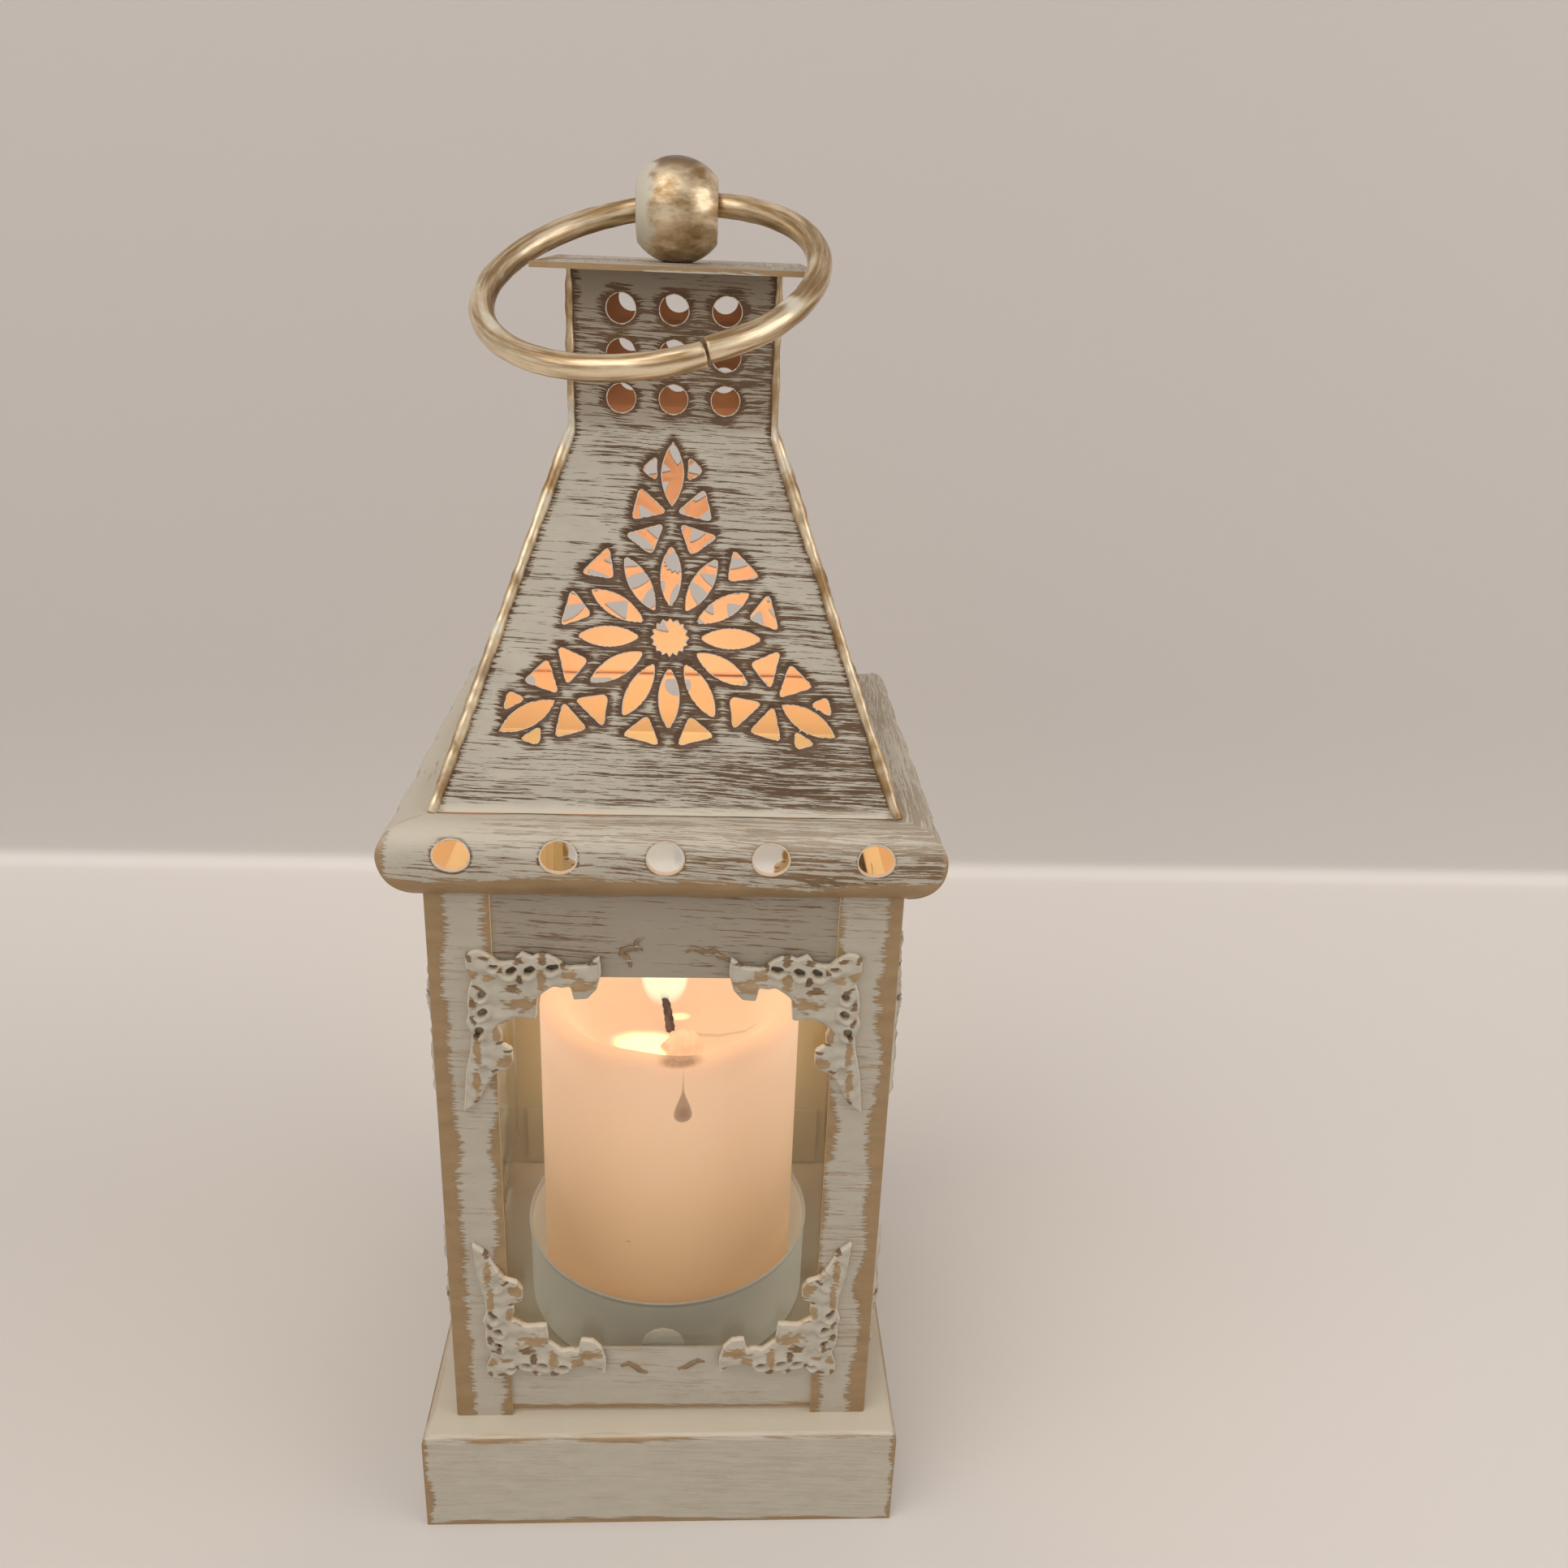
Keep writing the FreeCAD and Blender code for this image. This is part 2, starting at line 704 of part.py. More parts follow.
for name in glazed_names:
    turn = side_names.index(name)
    save("bottom_rail_" + name, quarter_turn(bottom_rail(), turn))
    save("top_rail_" + name, quarter_turn(top_rail(), turn))
    save("glass_" + name, quarter_turn(window_glass(), turn))
    for place, leaf in filigree_set(half_body, window_half, window_bottom, window_top).items():
        save("filigree_" + name + "_" + place, quarter_turn(leaf, turn))
save("door_sill", quarter_turn(rail(base_top + rail_foot_gap, window_bottom), 2))
save("door_header", quarter_turn(rail(window_top, body_top), 2))

for turn, name in enumerate(side_names):
    save("eave_" + name, quarter_turn(eave_strip(), turn))
    save("roof_panel_" + name, quarter_turn(roof_panel(), turn))
save("hip_seams", Part.makeCompound([quarter_turn(hip_seam(), turn) for turn in range(len(side_names))]))

save("cap_plate", cap_plate())
save("finial_bead", finial_bead())
save("finial_screw", finial_screw())
save("ring_handle", ring_handle())

save("door_frame", door_frame())
save("door_glass", door_glass())
door_leaves = filigree_set(door_outer, door_window_half, door_window_bottom, door_window_top)
for place, leaf in door_leaves.items():
    save("filigree_door_" + place, quarter_turn(leaf, 2))
hinges = [hinge_parts(level) for level in hinge_levels]
save("hinge_post_leaves", Part.makeCompound([parts[0] for parts in hinges]))
save("hinge_door_leaves", Part.makeCompound([parts[1] for parts in hinges]))
save("hinge_pins", Part.makeCompound([parts[2] for parts in hinges]))
save("latch_button", latch_button())
save("latch_rivet", latch_rivet())
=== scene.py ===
import math

import bmesh
import bpy
import numpy as np
from mathutils import Matrix, Vector, kdtree, noise


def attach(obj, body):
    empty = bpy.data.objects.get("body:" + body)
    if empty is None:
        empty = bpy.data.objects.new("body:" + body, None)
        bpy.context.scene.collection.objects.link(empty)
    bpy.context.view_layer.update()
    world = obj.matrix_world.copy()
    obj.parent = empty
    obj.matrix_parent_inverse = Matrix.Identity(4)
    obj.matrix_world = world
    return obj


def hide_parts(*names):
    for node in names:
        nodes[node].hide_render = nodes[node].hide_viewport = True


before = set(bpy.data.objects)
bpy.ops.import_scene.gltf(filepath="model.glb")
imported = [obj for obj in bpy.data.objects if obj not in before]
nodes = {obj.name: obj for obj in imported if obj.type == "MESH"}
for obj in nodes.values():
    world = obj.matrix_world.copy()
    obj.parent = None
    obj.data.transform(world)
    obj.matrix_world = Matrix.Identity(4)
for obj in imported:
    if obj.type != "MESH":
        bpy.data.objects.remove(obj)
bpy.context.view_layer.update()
scene = bpy.context.scene
scene.view_settings.view_transform = "Standard"
mm = 0.001


# Camera: held by hand in front of the lantern, a little to its right, and looking down on it
# from about the height of the chimney's top.
def link(name, data):
    piece = bpy.data.objects.new(name, data)
    scene.collection.objects.link(piece)
    return piece


def turn_about(axis, degrees):
    return Matrix.Rotation(math.radians(degrees), 4, axis)


camera = link("camera", bpy.data.cameras.new("camera"))
scene.camera = camera
camera.data.sensor_width = 36.0
camera.data.lens = 31.84
camera_place = Vector((5.36, -237.4, 231.2)) * mm
camera_yaw, camera_tilt, camera_roll = -3.67, 67.95, 2.37
camera.matrix_world = (Matrix.Translation(camera_place) @ turn_about("Z", camera_yaw)
                       @ turn_about("X", camera_tilt) @ turn_about("Z", camera_roll))


# Backdrop: a pale table top with a plain wall close behind it. The two are one bent sheet.
def mesh_from(bm, name, smooth=True):
    bmesh.ops.recalc_face_normals(bm, faces=bm.faces)
    mesh = bpy.data.meshes.new(name)
    bm.to_mesh(mesh)
    bm.free()
    for polygon in mesh.polygons:
        polygon.use_smooth = smooth
    return mesh


wall_place = 0.244
wall_bend = 0.006
backdrop_reach = 3.0
backdrop_bm = bmesh.new()
bmesh.ops.create_grid(backdrop_bm, x_segments=2, y_segments=240, size=backdrop_reach)
quarter_bend = wall_bend * math.pi / 2
for vertex in backdrop_bm.verts:
    run = vertex.co.y * abs(vertex.co.y) / backdrop_reach + wall_place
    past = run - (wall_place - wall_bend)
    if past <= 0:
        vertex.co.y, vertex.co.z = run, 0.0
    elif past < quarter_bend:
        turn = past / wall_bend
        vertex.co.y = wall_place - wall_bend + wall_bend * math.sin(turn)
        vertex.co.z = wall_bend * (1 - math.cos(turn))
    else:
        vertex.co.y, vertex.co.z = wall_place, wall_bend + past - quarter_bend
backdrop = link("backdrop", mesh_from(backdrop_bm, "backdrop"))
if backdrop.data.polygons[0].normal.z < 0:
    backdrop.data.flip_normals()


# Node helpers: a field is one output of a node. Fields are added and multiplied like numbers,
# and a name or number in brackets picks another output of the same node.
class Field:
    def __init__(self, node, output=0):
        self.node = node
        self.tree = node.id_data
        self.socket = node.outputs[output]

    def __getitem__(self, output):
        return Field(self.node, output)

    def __add__(self, other):
        return calc(self.tree, "ADD", self, other)

    def __sub__(self, other):
        return calc(self.tree, "SUBTRACT", self, other)

    def __rsub__(self, other):
        return calc(self.tree, "SUBTRACT", other, self)

    def __mul__(self, other):
        return calc(self.tree, "MULTIPLY", self, other)

    def __abs__(self):
        return calc(self.tree, "ABSOLUTE", self)


def give(node, inputs):
    for label, value in inputs.items():
        if isinstance(value, Field):
            node.id_data.links.new(value.socket, node.inputs[label])
        else:
            node.inputs[label].default_value = value


def make(tree, kind, inputs=None, **settings):
    node = tree.nodes.new("ShaderNode" + kind)
    for label, value in settings.items():
        setattr(node, label, value)
    give(node, inputs or {})
    return Field(node)


def calc(tree, operation, first, second=0.0, clamp=False):
    return make(tree, "Math", {0: first, 1: second}, operation=operation, use_clamp=clamp)


def larger(first, second):
    return calc(first.tree, "MAXIMUM", first, second)


def ramp(value, low, high, start=0.0, end=1.0):
    given = {0: value, 1: low, 2: high, 3: start, 4: end}
    return make(value.tree, "MapRange", given, interpolation_type="SMOOTHSTEP")


# The same ramp over a place in metres, with its two limits in millimetres.
def ramp_mm(value, low, high, start=0.0, end=1.0):
    return ramp(value, low * mm, high * mm, start, end)


# A tone is a field, or three numbers from 0 to 255.
def mix(share, *tones):
    first, second = (tone if isinstance(tone, Field) else srgb(*tone) for tone in tones)
    return make(share.tree, "Mix", {0: share, 6: first, 7: second}, data_type="RGBA")[2]


def grain(vector, scale, detail=2.0, roughness=0.5):
    placed = make(vector.tree, "Mapping", {"Vector": vector, "Scale": scale})
    given = {"Vector": placed, "Scale": 1.0, "Detail": detail, "Roughness": roughness}
    return make(vector.tree, "TexNoise", given)


def object_vector(tree):
    return make(tree, "TexCoord")["Object"]


def split(vector):
    parts = make(vector.tree, "SeparateXYZ", {0: vector})
    return [parts[axis] for axis in range(3)]


def attribute(tree, name, output="Fac"):
    return make(tree, "Attribute", attribute_name=name)[output]


def srgb(*levels):
    shares = [level / 255 for level in levels]
    return [s / 12.92 if s <= 0.04045 else ((s + 0.055) / 1.055) ** 2.4 for s in shares] + [1.0]


def material(name):
    made = bpy.data.materials.new(name)
    made.use_nodes = True
    tree = made.node_tree
    shader = next(n for n in tree.nodes if n.type == "BSDF_PRINCIPLED")
    return made, tree, shader


def blend_surface(tree, share, first, second):
    blend = make(tree, "MixShader", {0: share, 1: first, 2: second})
    output = next(n for n in tree.nodes if n.type == "OUTPUT_MATERIAL")
    give(output, {"Surface": blend})


def group(name, inputs, outputs):
    tree = bpy.data.node_groups.new(name, "ShaderNodeTree")
    for way, sockets in (("INPUT", inputs), ("OUTPUT", outputs)):
        for label, kind in sockets.items():
            tree.interface.new_socket(name=label, in_out=way, socket_type="NodeSocket" + kind)
    return tree, Field(tree.nodes.new("NodeGroupInput")), tree.nodes.new("NodeGroupOutput")


backdrop_material, tree, shader = material("backdrop")
across, away, up = split(object_vector(tree))
# Painted light: the table top is painted lighter to the right and towards the wall, and the wall a
# little lighter at its foot, as the room's light falls on them.
near_tone_painted_light = mix(ramp(across, -0.05, 0.20), (219, 213, 206), (229, 223, 217))
table_tone_painted_light = mix(ramp(away, 0.02, 0.24), near_tone_painted_light, (238, 231, 224))
wall_tone = mix(ramp(up, 0.0, 0.08), (206, 201, 196), (200, 194, 189))
give(shader, {
    "Base Color": mix(ramp(up, 0.0, wall_bend), table_tone_painted_light, wall_tone),
    "Roughness": 0.55})
# Looked at from behind, the wall lets the view through.
from_behind = make(tree, "LightPath")["Is Camera Ray"] * make(tree, "NewGeometry")["Backfacing"]
blend_surface(tree, from_behind, Field(shader), make(tree, "BsdfTransparent"))
backdrop.data.materials.append(backdrop_material)


# Light: a bright room with a broad soft source over the camera and a weaker one to the right.
# The flame's own light is made with the flame.
world = bpy.data.worlds.new("room")
scene.world = world
world.use_nodes = True
give(world.node_tree.nodes["Background"], {"Color": srgb(232, 230, 230), "Strength": 0.80})
light_aim = Vector((0.0, 0.0, 0.12))


def lamp(name, kind, size, power, colour, place):
    light = bpy.data.lights.new(name, kind)
    setattr(light, "size" if kind == "AREA" else "shadow_soft_size", size)
    light.energy = power
    light.color = colour[:3]
    holder = link(name, light)
    holder.location = place
    return holder


for name, place, size, power, colour in (
        ("window_light", (-0.45, -0.55, 0.95), 1.0, 4.6, srgb(255, 251, 247)),
        ("fill_light", (0.8, -0.35, 0.55), 0.7, 1.8, srgb(255, 250, 244))):
    holder = lamp(name, "AREA", size, power, colour, place)
    holder.rotation_mode = "QUATERNION"
    holder.rotation_quaternion = (light_aim - Vector(place)).to_track_quat("-Z", "Y")


# Paint: white dry brushed sideways over bronze. The strokes are long along the wall and thin
# across it, and the place across them runs up the walls and inward over the ledges.
stroke_slant, stroke_wobble = 0.045, 0.0022
strokes_group, given, result = group(
    "brush_strokes", {"Vector": "Vector"}, {"Strokes": "Float", "Patches": "Float"})
vector = given["Vector"]
wobble = grain(vector, (34, 34, 50))
side_x, side_y, _ = split(vector)
outward = larger(abs(side_x), abs(side_y))
swayed = (side_x + side_y) * stroke_slant + wobble * stroke_wobble
lift = make(strokes_group, "CombineXYZ", {2: swayed - outward})
bent = make(strokes_group, "VectorMath", {0: vector, 1: lift}, operation="ADD")
broad = grain(bent, (62, 62, 2000), 5.0, 0.66)
fine = grain(bent, (240, 240, 5000), 3.0, 0.68)
patches = grain(vector, (30, 30, 55), 3.0, 0.6)
give(result, {
    "Strokes": ramp(broad * 0.55 + fine * 0.45, 0.39, 0.61),
    "Patches": ramp(patches, 0.32, 0.68)})

# The finish group turns how bare and how golden a place is into colour, gloss and relief.
finish_group, given, result = group(
    "dry_brushed_finish",
    {"Vector": "Vector", "Bare": "Float", "Gold": "Float", "Pale_and_highlight": "Float", "Dull_and_shade": "Float"},
    {"Color": "Color", "Roughness": "Float", "Metallic": "Float", "Height": "Float"})
bare = given["Bare"]
mottle = grain(given["Vector"], (160, 160, 420), 3.0, 0.6)
fresh = mix(mottle, (172, 163, 147), (196, 187, 170))
# The dull share mixes the paint toward a darker grey-brown: painted shade on the top rails under
# the eave and on the chimney under its cap and at its foot, and a duller paint elsewhere.
paint = mix(given["Dull_and_shade"], fresh, (140, 126, 108))
brown = mix(mottle, (52, 32, 14), (104, 70, 38))
gold = mix(mottle, (148, 120, 84), (184, 156, 118))
fringe = mix(ramp(bare, 0.0, 0.5), paint, (160, 136, 102))
worn = mix(ramp(bare, 0.3, 0.9), fringe, mix(given["Gold"], brown, gold))
# The pale share mixes toward cream: painted highlights on the rims of holes, the leaves' edges, the
# tray's ledge and the eave's shoulder, and a pale fillet at the roof's foot.
give(result, {
    "Color": mix(given["Pale_and_highlight"], worn, (224, 212, 190)),
    "Roughness": ramp(bare, 0.0, 1.0, 0.55, 0.42),
    "Metallic": bare * given["Gold"] * 0.55,
    "Height": 1.0 - bare + mottle * 0.3})

# On every side of the square body, the smaller of |x| and |y| runs across the side, and the
# larger one is how far out the side stands. All three places are in millimetres.
to_mm = 1000.0
across_group, given, result = group(
    "across_side", {"Vector": "Vector"}, {"Across": "Float", "Out": "Float", "Up": "Float"})
side_x, side_y, side_z = split(given["Vector"])
across = calc(across_group, "MINIMUM", abs(side_x), abs(side_y))
give(result, {
    "Across": across * to_mm, "Up": side_z * to_mm,
    "Out": larger(abs(side_x), abs(side_y)) * to_mm})


def bumped(height, relief):
    return make(height.tree, "Bump", {"Strength": 0.6, "Distance": relief * mm, "Height": height})


def finish_from(tree, shader, vector, bare, gilt, pale_and_highlight, dull_and_shade):
    given = {"Vector": vector, "Bare": bare, "Gold": gilt, "Pale_and_highlight": pale_and_highlight, "Dull_and_shade": dull_and_shade}
    finish = make(tree, "Group", given, node_tree=finish_group)
    give(shader, {
        "Base Color": finish["Color"], "Roughness": finish["Roughness"],
        "Metallic": finish["Metallic"], "Normal": bumped(finish["Height"], 0.12)})


def ragged(distance, strokes, reach, feather, soft=0.25):
    return ramp(distance - strokes * feather, reach - soft, reach + soft, 1.0, 0.0)


# Each edge is (places that are added up, sign, level, reach of the wear, feathering). Each band is
# (low, high, share below, share above), from low to high up the lantern. Each gap is (attribute,
# reach of the wear, feathering, width of the pale rim, which is a painted highlight). All are in
# millimetres.
def tin_material(name, edges, stroke_level, gilt=0.85, gaps=(), to_right=0.0, bare_bands=(),
                 pale_and_highlight_bands=(), painted_shade_bands=(), dull_and_shade=0.0, depth=1.0, edge_depth=1.0, soft=0.25):
    made, tree, shader = material(name)
    vector = object_vector(tree)
    place = make(tree, "Group", {"Vector": vector}, node_tree=across_group)
    brush = make(tree, "Group", {"Vector": vector}, node_tree=strokes_group)
    strokes, patches = brush["Strokes"], brush["Patches"]
    density = strokes + patches * 0.35 + split(vector)[0] * to_right
    for band in bare_bands:
        density += ramp(place["Up"], *band)
    bare = ramp(density, stroke_level, stroke_level + 0.12, 0.0, depth)
    gold_share = bare * gilt
    for labels, sign, level, reach, feather in edges:
        total = sum((place[label] for label in labels[1:]), place[labels[0]])
        distance = (total - level) * sign + patches * (feather * 1.5)
        worn = ragged(distance, strokes, reach, feather, soft) * edge_depth
        bare = larger(bare, worn)
        gold_share = larger(gold_share, worn)
    pale_and_highlight = 0.0
    # Pale bands are paler paint: a pale fillet, or a painted highlight on a lit ledge or shoulder.
    for band in pale_and_highlight_bands:
        covered = ramp(place["Up"], *band)
        pale_and_highlight = larger(covered, pale_and_highlight)
        bare -= bare * covered * 0.6
    # Dull bands darken the paint as painted shade.
    for band in painted_shade_bands:
        dull_and_shade = ramp(place["Up"], *band) + dull_and_shade
    for label, reach, feather, rim_width in gaps:
        gap = attribute(tree, label)
        bare = larger(bare, ragged(gap, strokes, reach, feather))
        if rim_width:
            pale_and_highlight = larger(ramp(gap, rim_width * 0.5, rim_width, 0.85, 0.0), pale_and_highlight)
    finish_from(tree, shader, vector, bare, gold_share, pale_and_highlight, dull_and_shade)
    return made


# Inside of the tin: bare coppery bronze. The flame's light on it is painted in as a glow, strongest
# in the roof and fading up the chimney, where the bronze is also painted darker as painted shade.
inside_material, tree, shader = material("bare_inside")
vector = object_vector(tree)
cloud = grain(vector, (60, 60, 60), 3.0)
up = split(vector)[2]
body_tone = mix(cloud, (168, 150, 116), (184, 166, 130))
roof_tone = mix(cloud, (190, 158, 132), (208, 176, 148))
in_roof, in_chimney = ramp_mm(up, 128, 145), ramp_mm(up, 190, 206)
give(shader, {
    "Base Color": mix(in_chimney, mix(in_roof, body_tone, roof_tone), (132, 94, 62)),
    "Emission Color": mix(in_roof, (222, 186, 126), (240, 168, 118)),
    "Emission Strength": ramp_mm(up, 85, 140, 0.08, 0.46) * ramp_mm(up, 160, 206, 1.0, 0.12),
    "Roughness": 0.6, "Metallic": 0.1})


# Base tray, posts and rails: thin folded tin that keeps the CAD shape, softened at its folds.
# Each is brushed white, and rubbed back to gold along its edges.
base_half, base_top = 44.0, 21.4
body_half, window_half = 38.4, 28.0
rail_foot, window_bottom, window_top, body_top = 22.5, 36.8, 115.5, 131.0
cap_half, cap_top = 21.0, 224.5
base_edges = [(("Across",), -1, base_half, 1.4, 1.0),
              (("Out", "Up"), -1, base_half + base_top, 1.0, 0.6),
              (("Up",), 1, 0.0, 0.9, 0.6)]
post_edges = [(("Across",), -1, body_half, 3.2, 1.3), (("Across",), 1, window_half, 1.4, 1.4)]
cap_edges = [(("Out", "Up"), -1, cap_half + cap_top, 1.6, 1.4)]
rail_edges, lower_edges = [(("Up",), -1, body_top, 0.6, 0.6)], [(("Up",), 1, rail_foot, 0.8, 0.7)]
# The pale band on the tray's top ledge is painted light: the ledge is lit from above.
tin_base = tin_material(
    "tin_base", base_edges, 0.98, gilt=1.0, dull_and_shade=0.08, depth=0.16, edge_depth=0.9, soft=0.4,
    bare_bands=((17.5, 20.8, 0.0, 0.16), (20.9, 21.2, 0.0, -0.3)),
    pale_and_highlight_bands=((20.9, 21.3, 0.0, 0.6),))
tin_post = tin_material(
    "tin_post", post_edges, 1.06, gilt=1.0, dull_and_shade=0.2, depth=0.35, edge_depth=0.85, soft=0.4)
# The top rails' paint is darkened well toward grey-brown: painted shade under the eave.
tin_rail = tin_material("tin_rail", rail_edges, 1.04, gilt=0.3, dull_and_shade=0.7, depth=0.75)
tin_lower = tin_material(
    "tin_lower", lower_edges, 1.04, gilt=1.0, dull_and_shade=0.15, depth=0.25, edge_depth=0.7, soft=0.4)
tin_cap = tin_material("tin_cap", cap_edges, 0.85, gilt=0.7)


def dress(node, made, soften=0.16, inner=None):
    piece = nodes[node]
    piece.data.materials.clear()
    piece.data.materials.append(made)
    if inner:
        piece.data.materials.append(inner)
        for polygon in piece.data.polygons:
            centre, normal = polygon.center.xy, polygon.normal.xy
            polygon.material_index = 1 if centre.dot(normal) < -0.3 * centre.length else 0
    if soften:
        bevel = piece.modifiers.new("soft_folds", "BEVEL")
        bevel.width = soften * mm
        bevel.segments = 2
        bevel.limit_method = "ANGLE"
        bevel.angle_limit = math.radians(40)


dress("base_tray", tin_base, 0.3)
corner_names = ("front_left", "front_right", "back_right", "back_left")
for corner in corner_names:
    dress("post_" + corner, tin_post, inner=inside_material)
for side in ("front", "right", "left"):
    dress("top_rail_" + side, tin_rail, inner=inside_material)
    dress("bottom_rail_" + side, tin_lower, inner=inside_material)
dress("door_header", tin_rail, inner=inside_material)
dress("door_sill", tin_lower, inner=inside_material)
dress("door_frame", tin_post, inner=inside_material)
dress("cap_plate", tin_cap, 0.12)


# Roof: four sheets, each pierced in the flat and then folded at the chimney's foot.
# The punch leaves the metal dished round each hole.
sheet = 0.6
eave_top = 144.0
roof_foot_half, chimney_half = 36.45, 15.75
roof_height, chimney_height = 56.4, 23.3
roof_run = roof_foot_half - chimney_half
roof_slant = math.hypot(roof_run, roof_height)
roof_angle = math.atan2(roof_height, roof_run)
rosette_height, rosette_radius = 27.9, 30.3
petal_inner, petal_outer, petal_width, petal_count = 4.84, 14.3, 3.1, 12
eye_radius, eye_tooth, eye_teeth = 2.9, 0.6, 16
tip_leaf_length, tip_leaf_width = 9.7, 3.3
motif_holes = (
    ((0.084, 0.932), (0.080, 0.805), (0.160, 0.860)),
    ((0.165, 0.769), (0.206, 0.604), (0.026, 0.644)),
    ((0.238, 0.525), (0.043, 0.584), (0.102, 0.425)),
)
pair_radii, pair_angles = (0.561, 0.563, 0.419), (4.9, 25.1, 15.2)
vent_radius, vent_pitch, vent_row_pitch, vent_margin = 2.2, 8.05, 6.6, 5.5


def polar(radius, degrees):
    angle = math.radians(degrees)
    return Vector((radius * math.cos(angle), radius * math.sin(angle)))


def disc(radius, middle, steps):
    return [polar(radius, 360 / steps * step) + Vector(middle) for step in range(steps)]


def leaf_outline(start, end, width, steps=12):
    half, rise = (end - start).length / 2, width / 2
    radius = (half ** 2 + rise ** 2) / (2 * rise)
    sweep = 2 * math.degrees(math.asin(half / radius))
    along = (end - start).normalized()
    side = Vector((along.y, -along.x))
    points = []
    for sign in (1, -1):
        for step in range(steps):
            spoke = polar(radius, 90 + sign * sweep * (0.5 - step / steps))
            aside = sign * (spoke.y - radius + rise)
            points.append((start + end) / 2 - along * spoke.x + side * aside)
    return points


def rounded(corners, radius, steps=5):
    points = []
    for index, corner in enumerate(corners):
        before, after = corners[index - 1], corners[(index + 1) % len(corners)]
        cut = min(radius, (before - corner).length / 3, (after - corner).length / 3)
        first = corner + (before - corner).normalized() * cut
        last = corner + (after - corner).normalized() * cut
        for step in range(steps + 1):
            share = step / steps
            points.append(first.lerp(corner, share).lerp(corner.lerp(last, share), share))
    return points


def turned_points(points, degrees):
    spin = Matrix.Rotation(math.radians(degrees), 2)
    return [spin @ point for point in points]


rosette = [[polar(eye_radius - (index % 2) * eye_tooth, index * 180 / eye_teeth)
            for index in range(2 * eye_teeth)]]
petal = leaf_outline(Vector((0, petal_inner)), Vector((0, petal_outer)), petal_width)
petal = rounded(petal, 0.3, 1)
for index in range(petal_count):
    rosette.append(turned_points(petal, index * 360 / petal_count))
tip_foot, tip_end = Vector((0, rosette_radius - tip_leaf_length)), Vector((0, rosette_radius))
for turn in (0, 120, 240):
    rosette.append(turned_points(leaf_outline(tip_foot, tip_end, tip_leaf_width), turn))
    for side in (-1, 1):
        for hole in motif_holes:
            corners = [Vector((side * x, y)) * rosette_radius for x, y in hole]
            rosette.append(turned_points(rounded(corners, 1.0), turn))
        pair = [polar(r * rosette_radius, side * a - 90) for r, a in zip(pair_radii, pair_angles)]
        rosette.append(turned_points(rounded(pair, 1.0), turn))
roof_holes = [[point + Vector((0, rosette_height)) for point in hole] for hole in rosette]
for row in range(3):
    level = roof_slant + chimney_height - vent_margin - row * vent_row_pitch
    for column in (-1, 0, 1):
        roof_holes.append(disc(vent_radius, (column * vent_pitch, level), 24))


def flat_sheet(width_at, length, columns, rows):
    bm = bmesh.new()
    bmesh.ops.create_grid(bm, x_segments=columns, y_segments=rows, size=1.0)
    for vertex in bm.verts:
        along = (vertex.co.y + 1) / 2 * length
        vertex.co = (vertex.co.x * width_at(along), along, 0)
    bmesh.ops.solidify(bm, geom=bm.faces, thickness=sheet)
    low = min(vertex.co.z for vertex in bm.verts)
    bmesh.ops.translate(bm, verts=bm.verts, vec=(0, 0, -sheet - low))
    return mesh_from(bm, "flat_sheet")


def applied(piece):
    bpy.context.view_layer.update()
    depsgraph = bpy.context.evaluated_depsgraph_get()
    mesh = bpy.data.meshes.new_from_object(piece.evaluated_get(depsgraph))
    bpy.data.objects.remove(piece)
    return mesh


def punch(mesh, holes):
    tools = bmesh.new()
    for hole in holes:
        ring = [tools.verts.new((point.x, point.y, -3)) for point in hole]
        face = tools.faces.new(ring)
        grown = bmesh.ops.extrude_face_region(tools, geom=[face])["geom"]
        top = [item for item in grown if isinstance(item, bmesh.types.BMVert)]
        bmesh.ops.translate(tools, verts=top, vec=(0, 0, 6))
    tool = link("punch_tool", mesh_from(tools, "punch_tool", False))
    blank = link("blank", mesh)
    cut = blank.modifiers.new("punch", "BOOLEAN")
    cut.object = tool
    cut.solver = "EXACT"
    punched = applied(blank)
    bpy.data.objects.remove(tool)
    return punched


def coordinates(mesh):
    values = np.empty(len(mesh.vertices) * 3)
    mesh.vertices.foreach_get("co", values)
    return values.reshape(-1, 3)


def edge_tree(edges, step, flatten):
    points = []
    for start, end in edges:
        count = max(1, round((end - start).length / step))
        points += [flatten(start.lerp(end, index / count)) for index in range(count + 1)]
    tree = kdtree.KDTree(len(points))
    for index, point in enumerate(points):
        tree.insert(point, index)
    tree.balance()
    return tree


def store(mesh, name, values, kind="FLOAT", entry="value"):
    layer = mesh.attributes.new(name, kind, "POINT")
    layer.data.foreach_set(entry, np.asarray(values, np.float32).ravel())


